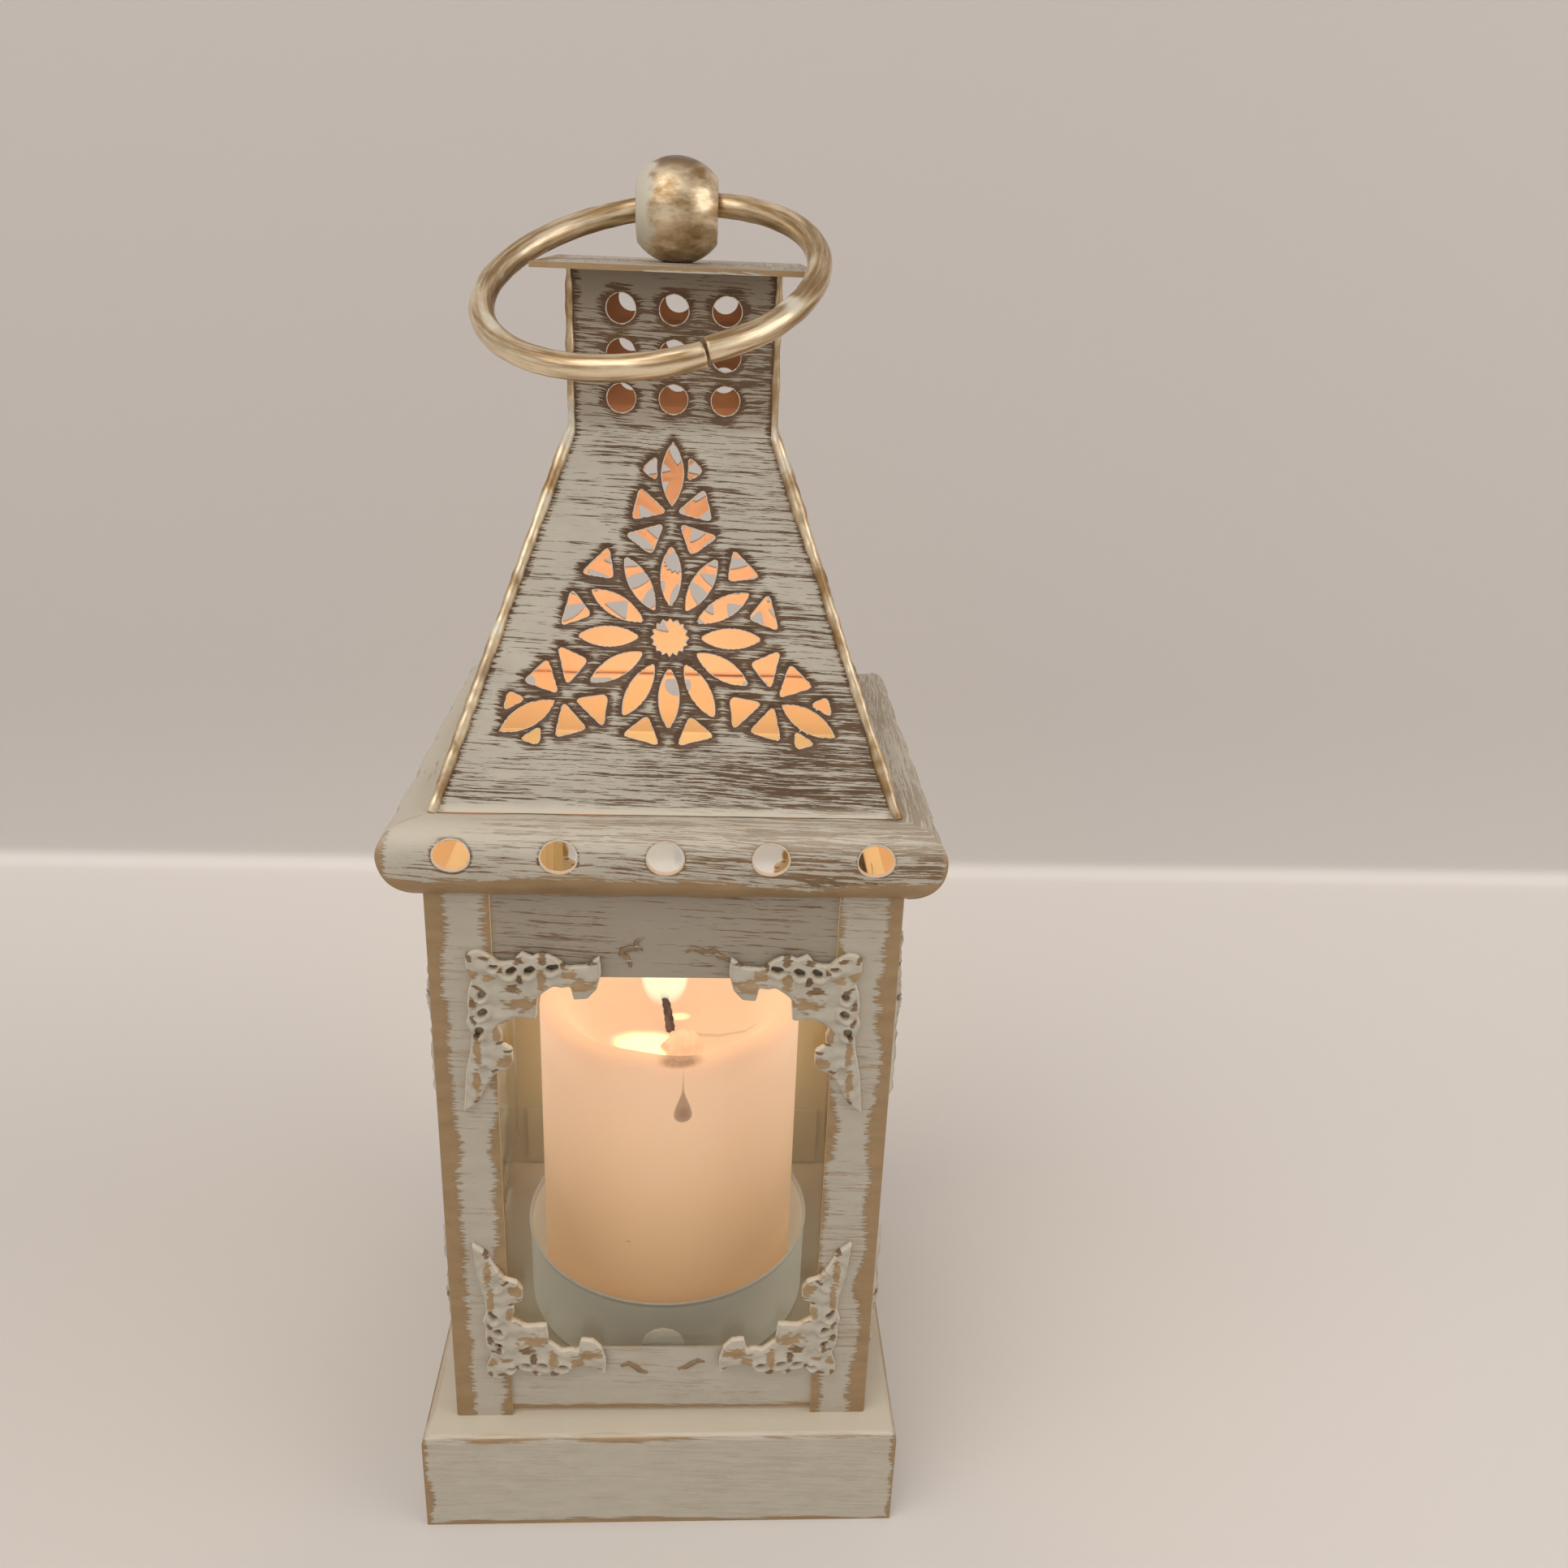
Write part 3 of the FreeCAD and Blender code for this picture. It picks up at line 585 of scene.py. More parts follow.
def pierced_sheet(width_at, length, columns, rows, holes, dish, fold, made_of, tucked=0.0):
    mesh = punch(flat_sheet(width_at, length, columns, rows), holes)
    edges = [pair for hole in holes for pair in zip(hole, hole[1:] + hole[:1])]
    tree = edge_tree(edges, 0.25, lambda point: point.to_3d())
    flat = coordinates(mesh)
    gaps = [tree.find((x, y, 0))[2] for x, y, _ in flat]
    placed = []
    for (x, y, z), gap in zip(flat, gaps):
        placed.append(fold(x, y, z - dish * math.exp(-(gap / 0.8) ** 2)))
    for made in made_of:
        mesh.materials.append(made)
    for polygon in mesh.polygons:
        at_end = tucked > 0 and not tucked < polygon.center.y < length - 0.01
        polygon.use_smooth = False
        polygon.material_index = 1 if at_end or polygon.center.z < 0.1 - sheet else 0
    mesh.vertices.foreach_set("co", (np.array(placed) * mm).ravel())
    mesh.update()
    store(mesh, "hole_gap", gaps)
    store(mesh, "side_gap", [width_at(y) - abs(x) for x, y, _ in flat])
    return mesh


def quarter_turned(mesh, turns):
    turned = mesh.copy()
    turned.transform(turn_about("Z", turns * 90))
    return turned


foot_flare, flare_length = 0.8, 3.2
roof_wave, roof_wave_length = 0.12, 14
fold_length = 1.2


def roof_width(along):
    return roof_foot_half + (chimney_half - roof_foot_half) * min(1.0, along / roof_slant)


def roof_fold(x, along, out):
    wave = roof_wave * noise.noise(Vector((x, along, 0)) / roof_wave_length)
    wave += foot_flare * max(0.0, 1 - along / flare_length) ** 2
    past = max(0.0, along - roof_slant)
    on_slope = min(along, roof_slant)
    blend = min(1.0, max(0.0, (along - roof_slant) / fold_length + 0.5))
    lean = roof_angle + (math.pi / 2 - roof_angle) * blend
    reach = roof_foot_half - on_slope * math.cos(roof_angle)
    rise = eave_top + on_slope * math.sin(roof_angle) + past
    return (x, -(reach + (out + wave) * math.sin(lean)), rise + (out + wave) * math.cos(lean))


# On the roof the dull bands are painted shade, in the crease at the chimney's foot and under the
# cap, and the pale rims round the holes are painted highlights; the pale band at the foot is a pale
# fillet.
tin_roof = tin_material(
    "tin_roof", [], 0.87, gilt=0.1, to_right=7.0,
    bare_bands=((146, 172, 0.16, 0.0), (144.4, 145.6, -0.6, 0.0),
                (199, 203, 0.0, 0.2), (216, 220, 0.0, -0.5)),
    pale_and_highlight_bands=((144.4, 145.8, 0.5, 0.0),),
    painted_shade_bands=((199, 203, 0.0, 0.6), (213, 222, 0.0, 0.5)),
    gaps=[("hole_gap", 0.3, 1.6, 0.2), ("side_gap", 0.3, 1.7, 0)])
roof_mesh = pierced_sheet(
    roof_width, roof_slant + chimney_height, 130, 150, roof_holes, 0.3, roof_fold,
    (tin_roof, inside_material))
sides = ("front", "right", "back", "left")
for turns, side in enumerate(sides):
    panel = link("roof_sheet_" + side, quarter_turned(roof_mesh, turns))
    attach(panel, "lantern")
    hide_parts("roof_panel_" + side)


# Eave: four bulged strips with five round holes, mitred and soldered at the corners.
eave_half = 43.9
shoulder_radius, belly_radius = 4.6, 9.5
eave_flange, eave_lip = 1.4, 2.4
eave_hole_radius, eave_hole_pitch, eave_hole_drop = 2.8, 16.34, 4.2
eave_dent, eave_dent_length = 0.25, 9
shoulder = Vector((eave_half - shoulder_radius, eave_top - shoulder_radius))
belly = Vector((eave_half - belly_radius, shoulder.y))
belly_angle = math.degrees(math.asin((belly.y - body_top) / belly_radius))
section = [Vector((roof_foot_half - eave_flange, eave_top))]
section += [shoulder + polar(shoulder_radius, 90 - 90 * step / 24) for step in range(25)]
section += [belly + polar(belly_radius, -belly_angle * step / 24) for step in range(1, 25)]
section.append(Vector((body_half - eave_lip, body_top)))
section_steps = [(after - before).length for before, after in zip(section, section[1:])]
section_lengths = np.concatenate([[0], np.cumsum(section_steps)])
section_out = [point.x for point in section]
section_up = [point.y for point in section]


def eave_place(along):
    return tuple(float(np.interp(along, section_lengths, way)) for way in (section_out, section_up))


def eave_fold(x, along, out):
    here, after = eave_place(along - 0.3), eave_place(along + 0.3)
    direction = (Vector(after) - Vector(here)).normalized()
    reach, rise = eave_place(along)
    dent = out + eave_dent * noise.noise(Vector((x, along, 40)) / eave_dent_length)
    return (x, -(reach - direction.y * dent), rise + direction.x * dent)


below_shoulder = [step for step, up in enumerate(section_up) if up <= eave_top - eave_hole_drop]
hole_along = float(section_lengths[below_shoulder[0]])
eave_holes = [disc(eave_hole_radius, (column * eave_hole_pitch, hole_along), 36)
              for column in range(-2, 3)]
# The pale band along the eave's rounded shoulder and the pale rims round its holes are painted
# highlights.
tin_eave = tin_material(
    "tin_eave", [(("Up",), 1, body_top, 5.6, 2.2), (("Across",), -1, eave_half, 1.4, 1.0)],
    0.92, gilt=0.4, to_right=6.0, bare_bands=((132, 142, 0.10, 0.0),),
    pale_and_highlight_bands=((139.6, 142.6, 0.0, 0.35),), gaps=[("hole_gap", 0.05, 0.7, 0.3)])
eave_mesh = pierced_sheet(
    lambda along: eave_place(along)[0], float(section_lengths[-1]), 150, 52, eave_holes, 0.2,
    eave_fold, (tin_eave, inside_material), tucked=0.6 * eave_flange)
for turns, side in enumerate(sides):
    strip = link("eave_strip_" + side, quarter_turned(eave_mesh, turns))
    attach(strip, "lantern")
    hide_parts("eave_" + side)


# Gilt: champagne gold, brushed along the wire or the seam, with cream rubbed into it and brown
# left in its hollows. The brown and the cream can be pushed along an axis, given as (axis, low,
# high, more below, more above) in millimetres; the pushes also serve as painted shade and painted
# highlight.
def gilt_finish(name, place, fine_scale, relief, more_cream_and_highlight=None, more_brown_and_shade=None):
    made, tree, shader = material(name)
    vector = place(tree)
    scratch = grain(vector, fine_scale, 4.0, 0.6)
    patch = grain(vector, (110, 150, 150))
    smudge = grain(vector, (80, 120, 120))
    browned, creamy = smudge + scratch * 0.35, patch + scratch * 0.4
    if more_brown_and_shade:
        browned += ramp_mm(split(vector)[more_brown_and_shade[0]], *more_brown_and_shade[1:])
    if more_cream_and_highlight:
        creamy += ramp_mm(split(vector)[more_cream_and_highlight[0]], *more_cream_and_highlight[1:])
    tone = mix(ramp(scratch, 0.34, 0.66), (154, 122, 80), (240, 220, 186))
    tone = mix(ramp(browned, 0.80, 0.98, 0.0, 0.8), tone, (104, 74, 42))
    cream = ramp(creamy, 0.78, 0.94)
    give(shader, {
        "Base Color": mix(cream, tone, (208, 200, 180)),
        "Metallic": ramp(cream, 0.0, 1.0, 0.85, 0.15),
        "Roughness": ramp(scratch, 0.3, 0.7, 0.40, 0.26),
        "Normal": bumped(scratch + patch * 1.4, relief)})
    return made


gilt_material = gilt_finish("gilt", object_vector, (200, 200, 110), 0.12)


# Hip seams: solder run down each corner of the roof by hand, so it is thick and thin by turns.
def wire(name, points, radius, radii, made, body, replaced=()):
    curve = bpy.data.curves.new(name, "CURVE")
    curve.dimensions = "3D"
    curve.bevel_depth = radius * mm
    curve.bevel_resolution = 6
    curve.use_fill_caps = True
    spline = curve.splines.new("POLY")
    spline.points.add(len(points) - 1)
    for target, point, share in zip(spline.points, points, radii):
        target.co = (*(Vector(point) * mm), 1)
        target.radius = share
    curve.materials.append(made)
    piece = link(name, curve)
    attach(piece, body)
    if replaced:
        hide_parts(*replaced)


seam_radius, chimney_thinning, seam_unevenness = 0.92, 0.62, 0.42
long_lump, short_lump = 5.5, 1.7
for turn, corner in enumerate(corner_names):
    spin = turn_about("Z", turn * 90)
    path, radii = [], []
    for step in range(121):
        rise = step / 120 * (roof_height + chimney_height)
        half = roof_foot_half - roof_run * min(1.0, rise / roof_height)
        path.append(spin @ Vector((-half, -half, eave_top + rise)))
        lump = noise.noise(Vector((turn * 7.3, 0, rise / long_lump)))
        lump += 0.5 * noise.noise(Vector((turn * 3.1, 5, rise / short_lump)))
        thinning = 1.0 if rise < roof_height else chimney_thinning
        radii.append(thinning * (1.0 + seam_unevenness * lump))
    wire("hip_solder_" + corner, path, seam_radius, radii, gilt_material, "lantern",
         ("hip_seams",) if turn == 0 else ())


# Ring: one bent wire with its ends butted, threaded through the bead and lying to one side.
ring_radius, ring_wire, ring_gap = 24.8, 3.7, 0.3
ring_lean, ring_roll, ring_slip, ring_butt, ring_rise = 23.7, -9.0, -8.1, -62.0, 0.6
bead_radius, bead_bore_radius, bead_height = 8.0, 4.4, 232.2
bore_half = math.sqrt(bead_radius ** 2 - bead_bore_radius ** 2)
ring_sag = ring_radius - math.sqrt(ring_radius ** 2 - bore_half ** 2)
ring_pose = (
    Matrix.Translation((0, 0, bead_height + ring_rise)) @ turn_about("X", ring_lean)
    @ turn_about("Y", ring_roll) @ turn_about("Z", ring_slip)
    @ Matrix.Translation((0, ring_sag / 2 - ring_radius, 0)) @ turn_about("Z", ring_butt)
)
ring_turn = 360 - math.degrees(ring_gap / ring_radius)
ring_bm = bmesh.new()
bmesh.ops.create_circle(ring_bm, segments=32, radius=ring_wire / 2)
bmesh.ops.rotate(ring_bm, verts=ring_bm.verts, matrix=turn_about("X", 90))
bmesh.ops.translate(ring_bm, verts=ring_bm.verts, vec=(ring_radius, 0, 0))
bmesh.ops.spin(ring_bm, geom=ring_bm.verts[:] + ring_bm.edges[:], cent=(0, 0, 0), axis=(0, 0, 1),
               angle=math.radians(ring_turn), steps=260)
open_ends = [edge for edge in ring_bm.edges if edge.is_boundary]
ends = bmesh.ops.holes_fill(ring_bm, edges=open_ends, sides=0)
rims = [edge for face in ends["faces"] for edge in face.edges]
bmesh.ops.bevel(ring_bm, geom=rims, offset=0.3, offset_type="OFFSET", segments=3, profile=0.5,
                affect="EDGES", material=-1)
ring_mesh = mesh_from(ring_bm, "ring")
flat_ring = coordinates(ring_mesh)
along = np.degrees(np.arctan2(flat_ring[:, 1], flat_ring[:, 0])) % 360
outward = np.hypot(flat_ring[:, 0], flat_ring[:, 1]) - ring_radius
wire_place = np.stack([np.radians(along) * ring_radius, outward, flat_ring[:, 2]], 1) * mm
store(ring_mesh, "wire_place", wire_place, "FLOAT_VECTOR", "vector")
butt_step, butt_reach = 0.45, 14
for index, vertex in enumerate(ring_mesh.vertices):
    spot = Vector(flat_ring[index])
    dent = 1 + 0.03 * noise.noise(spot / 2.2) - 0.01
    middle = Vector((spot.x, spot.y, 0)).normalized() * ring_radius
    raised = butt_step * math.exp(-(along[index] / butt_reach) ** 2)
    vertex.co = ring_pose @ (middle + (spot - middle) * dent + Vector((0, 0, raised))) * mm


def wire_vector(tree):
    return attribute(tree, "wire_place", "Vector")


# Painted shade: the ring's wire is pushed browner on its underside.
ring_mesh.materials.append(gilt_finish(
    "gilt_ring", wire_vector, (70, 900, 900), 0.06, more_brown_and_shade=(2, -1.7, -0.4, 0.30, -0.06)))
ring = link("ring", ring_mesh)
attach(ring, "ring")
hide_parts("ring_handle")


# Bead: a hollow ball, drilled across for the ring.
def lathe(name, profile, steps=96, axis="Z"):
    bm = bmesh.new()
    line = [bm.verts.new((radius, 0, height)) for radius, height in profile]
    edges = [bm.edges.new(pair) for pair in zip(line, line[1:] + line[:1])]
    bmesh.ops.spin(bm, geom=line + edges, cent=(0, 0, 0), axis=(0, 0, 1), angle=2 * math.pi,
                   steps=steps, use_merge=True)
    bmesh.ops.remove_doubles(bm, verts=bm.verts, dist=1e-5)
    bmesh.ops.scale(bm, verts=bm.verts, vec=(mm, mm, mm))
    if axis == "X":
        bmesh.ops.rotate(bm, verts=bm.verts, matrix=turn_about("Y", 90))
    return mesh_from(bm, name)


def arc(centre, radius, start, end, steps):
    angles = [math.radians(start + (end - start) * step / steps) for step in range(steps + 1)]
    return [(centre[0] + radius * math.cos(a), centre[1] + radius * math.sin(a)) for a in angles]


bead_end = math.degrees(math.acos((bead_bore_radius + 0.5) / bead_radius))
bead_profile = arc((0, 0), bead_radius, -bead_end, bead_end, 40)
bore_ends = bead_profile[-1][1] + 0.1, bead_profile[0][1] - 0.1
bead_profile += [(bead_bore_radius, end) for end in bore_ends]
bead_mesh = lathe("bead", bead_profile, 72, "X")
bead_mesh.transform(Matrix.Translation((0, 0, bead_height * mm)))
# Painted highlight: the bead is pushed creamier on its left side, where the light falls; it is also
# pushed browner toward its top.
bead_mesh.materials.append(gilt_finish(
    "gilt_bead", object_vector, (150, 150, 320), 0.05,
    more_cream_and_highlight=(0, -6.5, -1.0, 0.30, -0.16),
    more_brown_and_shade=(2, bead_height + 4.5, bead_height + 8, 0.0, 0.3)))
bead = link("bead", bead_mesh)
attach(bead, "lantern")
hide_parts("finial_bead")


# Hardware: the screw, the door's hinges and its turn button, in worn bronze.
hardware_material, tree, shader = material("worn_bronze")
rub = grain(object_vector(tree), (500, 500, 900), 4.0, 0.6)
give(shader, {
    "Base Color": mix(ramp(rub, 0.35, 0.7), (96, 74, 48), (170, 140, 98)),
    "Metallic": 0.6, "Roughness": ramp(rub, 0.3, 0.7, 0.38, 0.6)})
for node in ("finial_screw", "hinge_post_leaves", "hinge_door_leaves", "hinge_pins",
             "latch_button", "latch_rivet"):
    dress(node, hardware_material, 0.1)


# Filigree: thin stampings with soft raised lobes, a raised collar round each hole, a scroll pressed
# into the tail, and brown and tan left where the white was rubbed off. One is shaped, and the other
# fifteen are its copies and mirrors.
bm = bmesh.new()
bm.from_mesh(nodes["filigree_front_upper_right"].data)
bmesh.ops.scale(bm, verts=bm.verts, vec=(to_mm, to_mm, to_mm))
bmesh.ops.remove_doubles(bm, verts=bm.verts, dist=1e-3)
bmesh.ops.dissolve_limit(bm, angle_limit=math.radians(1), verts=bm.verts, edges=bm.edges)
upright = [edge for edge in bm.edges if abs(edge.verts[0].co.y - edge.verts[1].co.y) > 0.4]
bmesh.ops.bevel(bm, geom=upright, offset=0.6, offset_type="OFFSET", segments=4, profile=0.5,
                affect="EDGES", clamp_overlap=True, material=-1)
leaf_front = min(vertex.co.y for vertex in bm.verts)
ahead = [edge for edge in bm.edges if all(end.co.y < leaf_front + 0.01 for end in edge.verts)]
rims = [[end.co.copy() for end in edge.verts] for edge in ahead if edge.calc_face_angle(0) > 1]
plain = bpy.data.meshes.new("filigree_plain")
bm.to_mesh(plain)
bm.free()
leaf_holes = ((-9.8, 2.5), (-6.1, 2.0), (-3.2, 1.9), (-0.3, 2.8), (1.7, -2.5), (1.7, -5.8),
              (2.4, -9.3))
leaf_browns = (
    (-15.8, 3.4, 0.9, 0.4), (-11.8, 3.1, 0.8, 0.4), (-8.2, 4.2, 0.6, 0.8), (-4.4, 3.9, 0.7, 0.6),
    (-1.5, 2.3, 0.4, 0.6), (1.2, 4.3, 0.8, 0.4), (3.6, 4.3, 0.5, 0.5), (-4.5, 0.4, 0.4, 0.9),
    (-3.2, -1.4, 1.3, 0.7), (2.2, -1.3, 0.9, 0.4), (3.2, -4.0, 0.5, 0.9), (3.2, -7.2, 0.5, 0.8),
    (2.9, -10.3, 0.4, 0.5), (-0.7, -11.8, 0.5, 0.3), (-2.5, -13.2, 0.9, 0.25),
    (0.2, -16.9, 0.5, 0.3), (3.2, -23.4, 0.5, 0.8), (-13.4, 3.2, 1.8, 0.3),
)
leaf_tans = (
    (-8.0, 0.6, 0.6, 1.6), (3.3, 1.2, 0.9, 0.9), (0.6, 0.8, 0.8, 0.5), (-4.6, -3.9, 2.2, 1.0),
    (-0.8, -9.8, 1.0, 1.1), (-2.1, -7.8, 0.7, 0.5), (-1.9, -15.4, 1.1, 1.1), (2.8, -13.6, 0.5, 2.2),
    (3.2, -19.0, 0.5, 2.2), (0.5, -19.2, 0.5, 1.6), (-14.5, -0.4, 1.8, 1.1), (-12.4, 1.6, 0.9, 0.8),
)
scroll_pit = (1.5, -17.3, 0.95, 1.75)


def blot(x, z, spots):
    deepest = 0.0
    for across, up, wide, high in spots:
        away = math.hypot((x - across) / wide, (z - up) / high)
        away += 0.9 * noise.noise(Vector((x / 1.2, across, z / 0.45)))
        deepest = max(deepest, min(1.0, max(0.0, 1.7 - away)))
    return deepest


def is_hole(start, end):
    middle = (start + end) / 2 - Vector((window_half, 0, window_top))
    return any(math.hypot(middle.x - across, middle.z - up) < 1.3 for across, up in leaf_holes)


def rim_tree(pairs):
    return edge_tree(pairs, 0.12, lambda point: (point.x, 0, point.z))


blank = link("filigree_blank", plain)
remesh = blank.modifiers.new("remesh", "REMESH")
remesh.mode = "VOXEL"
remesh.voxel_size = 0.15
soften = blank.modifiers.new("soften", "SMOOTH")
soften.factor = 0.6
soften.iterations = 6
leaf_mesh = applied(blank)
hole_rims = rim_tree([pair for pair in rims if is_hole(*pair)])
edge_rims = rim_tree([pair for pair in rims if not is_hole(*pair)])
leaf_relief, round_reach, hole_round_reach = 0.95, 1.0, 0.35
leaf_points = coordinates(leaf_mesh)
leaf_values = {"leaf_rim": [], "leaf_brown": [], "leaf_tan": []}
for point in leaf_points:
    hole_gap = hole_rims.find((point[0], 0, point[2]))[2]
    edge_gap = edge_rims.find((point[0], 0, point[2]))[2]
    x, z = point[0] - window_half, point[2] - window_top
    brown = blot(x, z, leaf_browns)
    leaf_values["leaf_rim"].append(min(hole_gap, edge_gap))
    leaf_values["leaf_brown"].append(brown)
    leaf_values["leaf_tan"].append(blot(x, z, leaf_tans))
    if point[1] < leaf_front + 0.3:
        round_edge = math.sqrt(1 - (1 - min(edge_gap / round_reach, 1.0)) ** 2)
        round_hole = math.sqrt(1 - (1 - min(hole_gap / hole_round_reach, 1.0)) ** 2)
        collar = 0.5 * math.exp(-((hole_gap - 0.45) / 0.4) ** 2)
        across, up, wide, high = scroll_pit
        pit = math.hypot((x - across) / wide, (z - up) / high)
        scroll = 0.35 * math.exp(-((pit - 1.2) / 0.3) ** 2) - 0.45 * max(0.0, 1 - pit)
        vein = 0.5 * noise.noise(Vector((x, 0, z)) / 1.8)
        raised = leaf_relief + collar + vein + scroll - 0.4 * brown
        point[1] -= round_edge * round_hole * raised
leaf_mesh.vertices.foreach_set("co", (leaf_points * mm).ravel())
leaf_mesh.update()
for label, values in leaf_values.items():
    store(leaf_mesh, label, values)
for polygon in leaf_mesh.polygons:
    polygon.use_smooth = True

tin_filigree, tree, shader = material("tin_filigree")
vector = object_vector(tree)
streaky = make(tree, "Group", {"Vector": vector}, node_tree=strokes_group)["Strokes"] * 0.5
brown = ramp(attribute(tree, "leaf_brown") + streaky, 0.72, 1.1, 0.0, 0.8)
tan = ramp(attribute(tree, "leaf_tan") + streaky, 0.56, 1.1, 0.0, 0.75)
# The pale rims along the leaf's edges and round its holes are painted highlights.
rim_highlight = ramp(attribute(tree, "leaf_rim"), 0.10, 0.34, 0.7, 0.0)
pale_and_highlight = calc(tree, "SUBTRACT", rim_highlight, brown, clamp=True)
finish_from(tree, shader, vector, larger(brown, tan), 1.0 - brown * 0.8, pale_and_highlight, 0.15)
leaf_mesh.materials.append(tin_filigree)


def set_leaf(name, moves, body):
    mesh = leaf_mesh.copy()
    for move in moves:
        mesh.transform(move)
        if move.determinant() < 0:
            mesh.flip_normals()
    leaf = link(name.replace("filigree", "leaf"), mesh)
    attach(leaf, body)
    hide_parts(name)


window_middle = (window_bottom + window_top) / 2
mirror_up = Matrix.Translation((0, 0, 2 * window_middle * mm)) @ Matrix.Scale(-1, 4, (0, 0, 1))
mirror_across = Matrix.Scale(-1, 4, (1, 0, 0))
leaf_places = ("upper_right", "upper_left", "lower_right", "lower_left")
side_turns = {"front": 0, "right": 1, "left": 3}


def leaf_moves(place, turns):
    moves = [mirror_up] if "lower" in place else []
    if "left" in place:
        moves.append(mirror_across)
    return moves + [turn_about("Z", turns * 90)]


for side, turns in side_turns.items():
    for place in leaf_places:
        set_leaf("filigree_" + side + "_" + place, leaf_moves(place, turns), "lantern")
door_window_half, door_window_top, door_face = 24.5, 112.5, 39.3
to_door = Matrix.Translation(Vector((door_window_half - window_half, body_half - door_face,
                                     door_window_top - window_top)) * mm)
for place in leaf_places:
    set_leaf("filigree_door_" + place, [to_door] + leaf_moves(place, 2), "door")


# Loose scrolls: small raised curls between the stampings, soldered to the face of the rails.
scroll_paths = {
    "top_left": ((-3.5, 122.8), (-4.7, 122.3), (-4.8, 121.4), (-4.1, 120.8), (-5.6, 121.0),
                 (-7.0, 120.6), (-7.2, 119.9), (-6.3, 119.3), (-5.8, 118.3), (-5.7, 117.3)),
    "top_right": ((3.4, 120.3), (4.3, 121.2), (5.5, 120.8), (6.6, 120.2), (7.8, 120.7),
                  (8.7, 119.7), (10.2, 119.1), (11.6, 118.4)),
    "foot_left": ((-7.7, 32.6), (-6.4, 33.4), (-5.2, 32.6), (-4.2, 31.5), (-2.9, 31.0)),
    "foot_right": ((7.7, 33.4), (6.5, 33.9), (5.3, 33.1), (4.1, 32.2), (2.9, 31.8)),
}
rail_face = 37.7
scroll_material = tin_material("tin_scroll", [], 0.30, gilt=0.6, depth=0.8)
for side, turns in side_turns.items():
    spin = turn_about("Z", turns * 90)
    for label, route in scroll_paths.items():
        points = [spin @ Vector((x, -rail_face, z)) for x, z in route]
        shares = [(step + 0.5) / len(route) for step in range(len(route))]
        swell = [0.35 + 0.65 * math.sin(math.pi * share) for share in shares]
        wire("scroll_" + side + "_" + label, points, 0.6, swell, scroll_material, "lantern")


# Window glass: clear sheet with a faint tint, which lets the room's light and the flame's through.
glass_material, tree, shader = material("clear_glass")
give(shader, {
    "Base Color": srgb(240, 243, 240), "Roughness": 0.03, "IOR": 1.45,
    "Transmission Weight": 1.0})
path = make(tree, "LightPath")
passes = larger(path["Is Shadow Ray"], path["Is Diffuse Ray"])
clear = make(tree, "BsdfTransparent", {"Color": srgb(246, 247, 244)})
blend_surface(tree, passes, Field(shader), clear)
for node in ("glass_front", "glass_right", "glass_left", "door_glass"):
    dress(node, glass_material, 0)


# Candle cup: a drawn tray of dull tinned steel with a rolled rim.
cup_radius, cup_wall, cup_height, rim_radius = 28.3, 0.5, 18.2, 0.3
rim_middle = (cup_radius + 0.05, base_top + cup_height - rim_radius)
cup_profile = [(0.0, base_top), (cup_radius - 0.8, base_top), (cup_radius, base_top + 0.8)]
cup_profile += arc(rim_middle, rim_radius, -80, 190, 12)
cup_profile += [(cup_radius - cup_wall, base_top + 1.2),
                (cup_radius - 1.2, base_top + cup_wall), (0.0, base_top + cup_wall)]
cup_material, tree, shader = material("tinned_steel")
vector = object_vector(tree)
across, _, up = split(vector)
haze = grain(vector, (70, 70, 160), 3.0)
wall_tone = mix(haze, (208, 205, 195), (224, 221, 211))
# Painted light: the cup glows faintly, more towards its sides, for the candle's light falling on
# the tin.
give(shader, {
    "Base Color": mix(ramp_mm(up, 38.2, 38.8), wall_tone, (166, 150, 128)),
    "Metallic": 0.1, "Roughness": ramp(haze, 0.2, 0.8, 0.38, 0.5),
    "Emission Color": srgb(190, 190, 174),
    "Emission Strength": ramp_mm(abs(across), 5, 26, 0.09, 0.27)})
cup_mesh = lathe("cup", cup_profile)
cup_mesh.materials.append(cup_material)
cup = link("cup", cup_mesh)
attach(cup, "lantern")
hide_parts("candle_cup")


# Candle: a pillar of ivory wax with a soft shoulder and a melted pool; the flame's light in it is
# painted in as a glow.
candle_radius, candle_foot, candle_rim, pool_depth = 25.3, 21.9, 90.9, 8.6
pool_floor = candle_rim - pool_depth
foot_round, shoulder_round = 0.6, 1.6
candle_profile = [(0.0, candle_foot), (candle_radius - foot_round, candle_foot),
                  (candle_radius, candle_foot + foot_round)]
candle_profile += arc((candle_radius - shoulder_round, candle_rim - shoulder_round), shoulder_round,
                      0, 90, 8)
candle_profile += [(candle_radius - 3.4, candle_rim - 0.2), (candle_radius * 0.8, candle_rim - 1.8),
                   (candle_radius * 0.6, pool_floor + 1.9), (candle_radius * 0.4, pool_floor + 0.5),
                   (candle_radius * 0.2, pool_floor + 0.1), (0.0, pool_floor)]
candle_mesh = lathe("candle_wax", candle_profile, 128)
soft_top, sag = 12, 0.7
for vertex in candle_mesh.vertices:
    spot = vertex.co / mm
    if spot.z > candle_rim - soft_top:
        share = (spot.z - candle_rim + soft_top) / soft_top
        vertex.co.z += sag * share * noise.noise(Vector((spot.x, spot.y, 0)) / 12) * mm


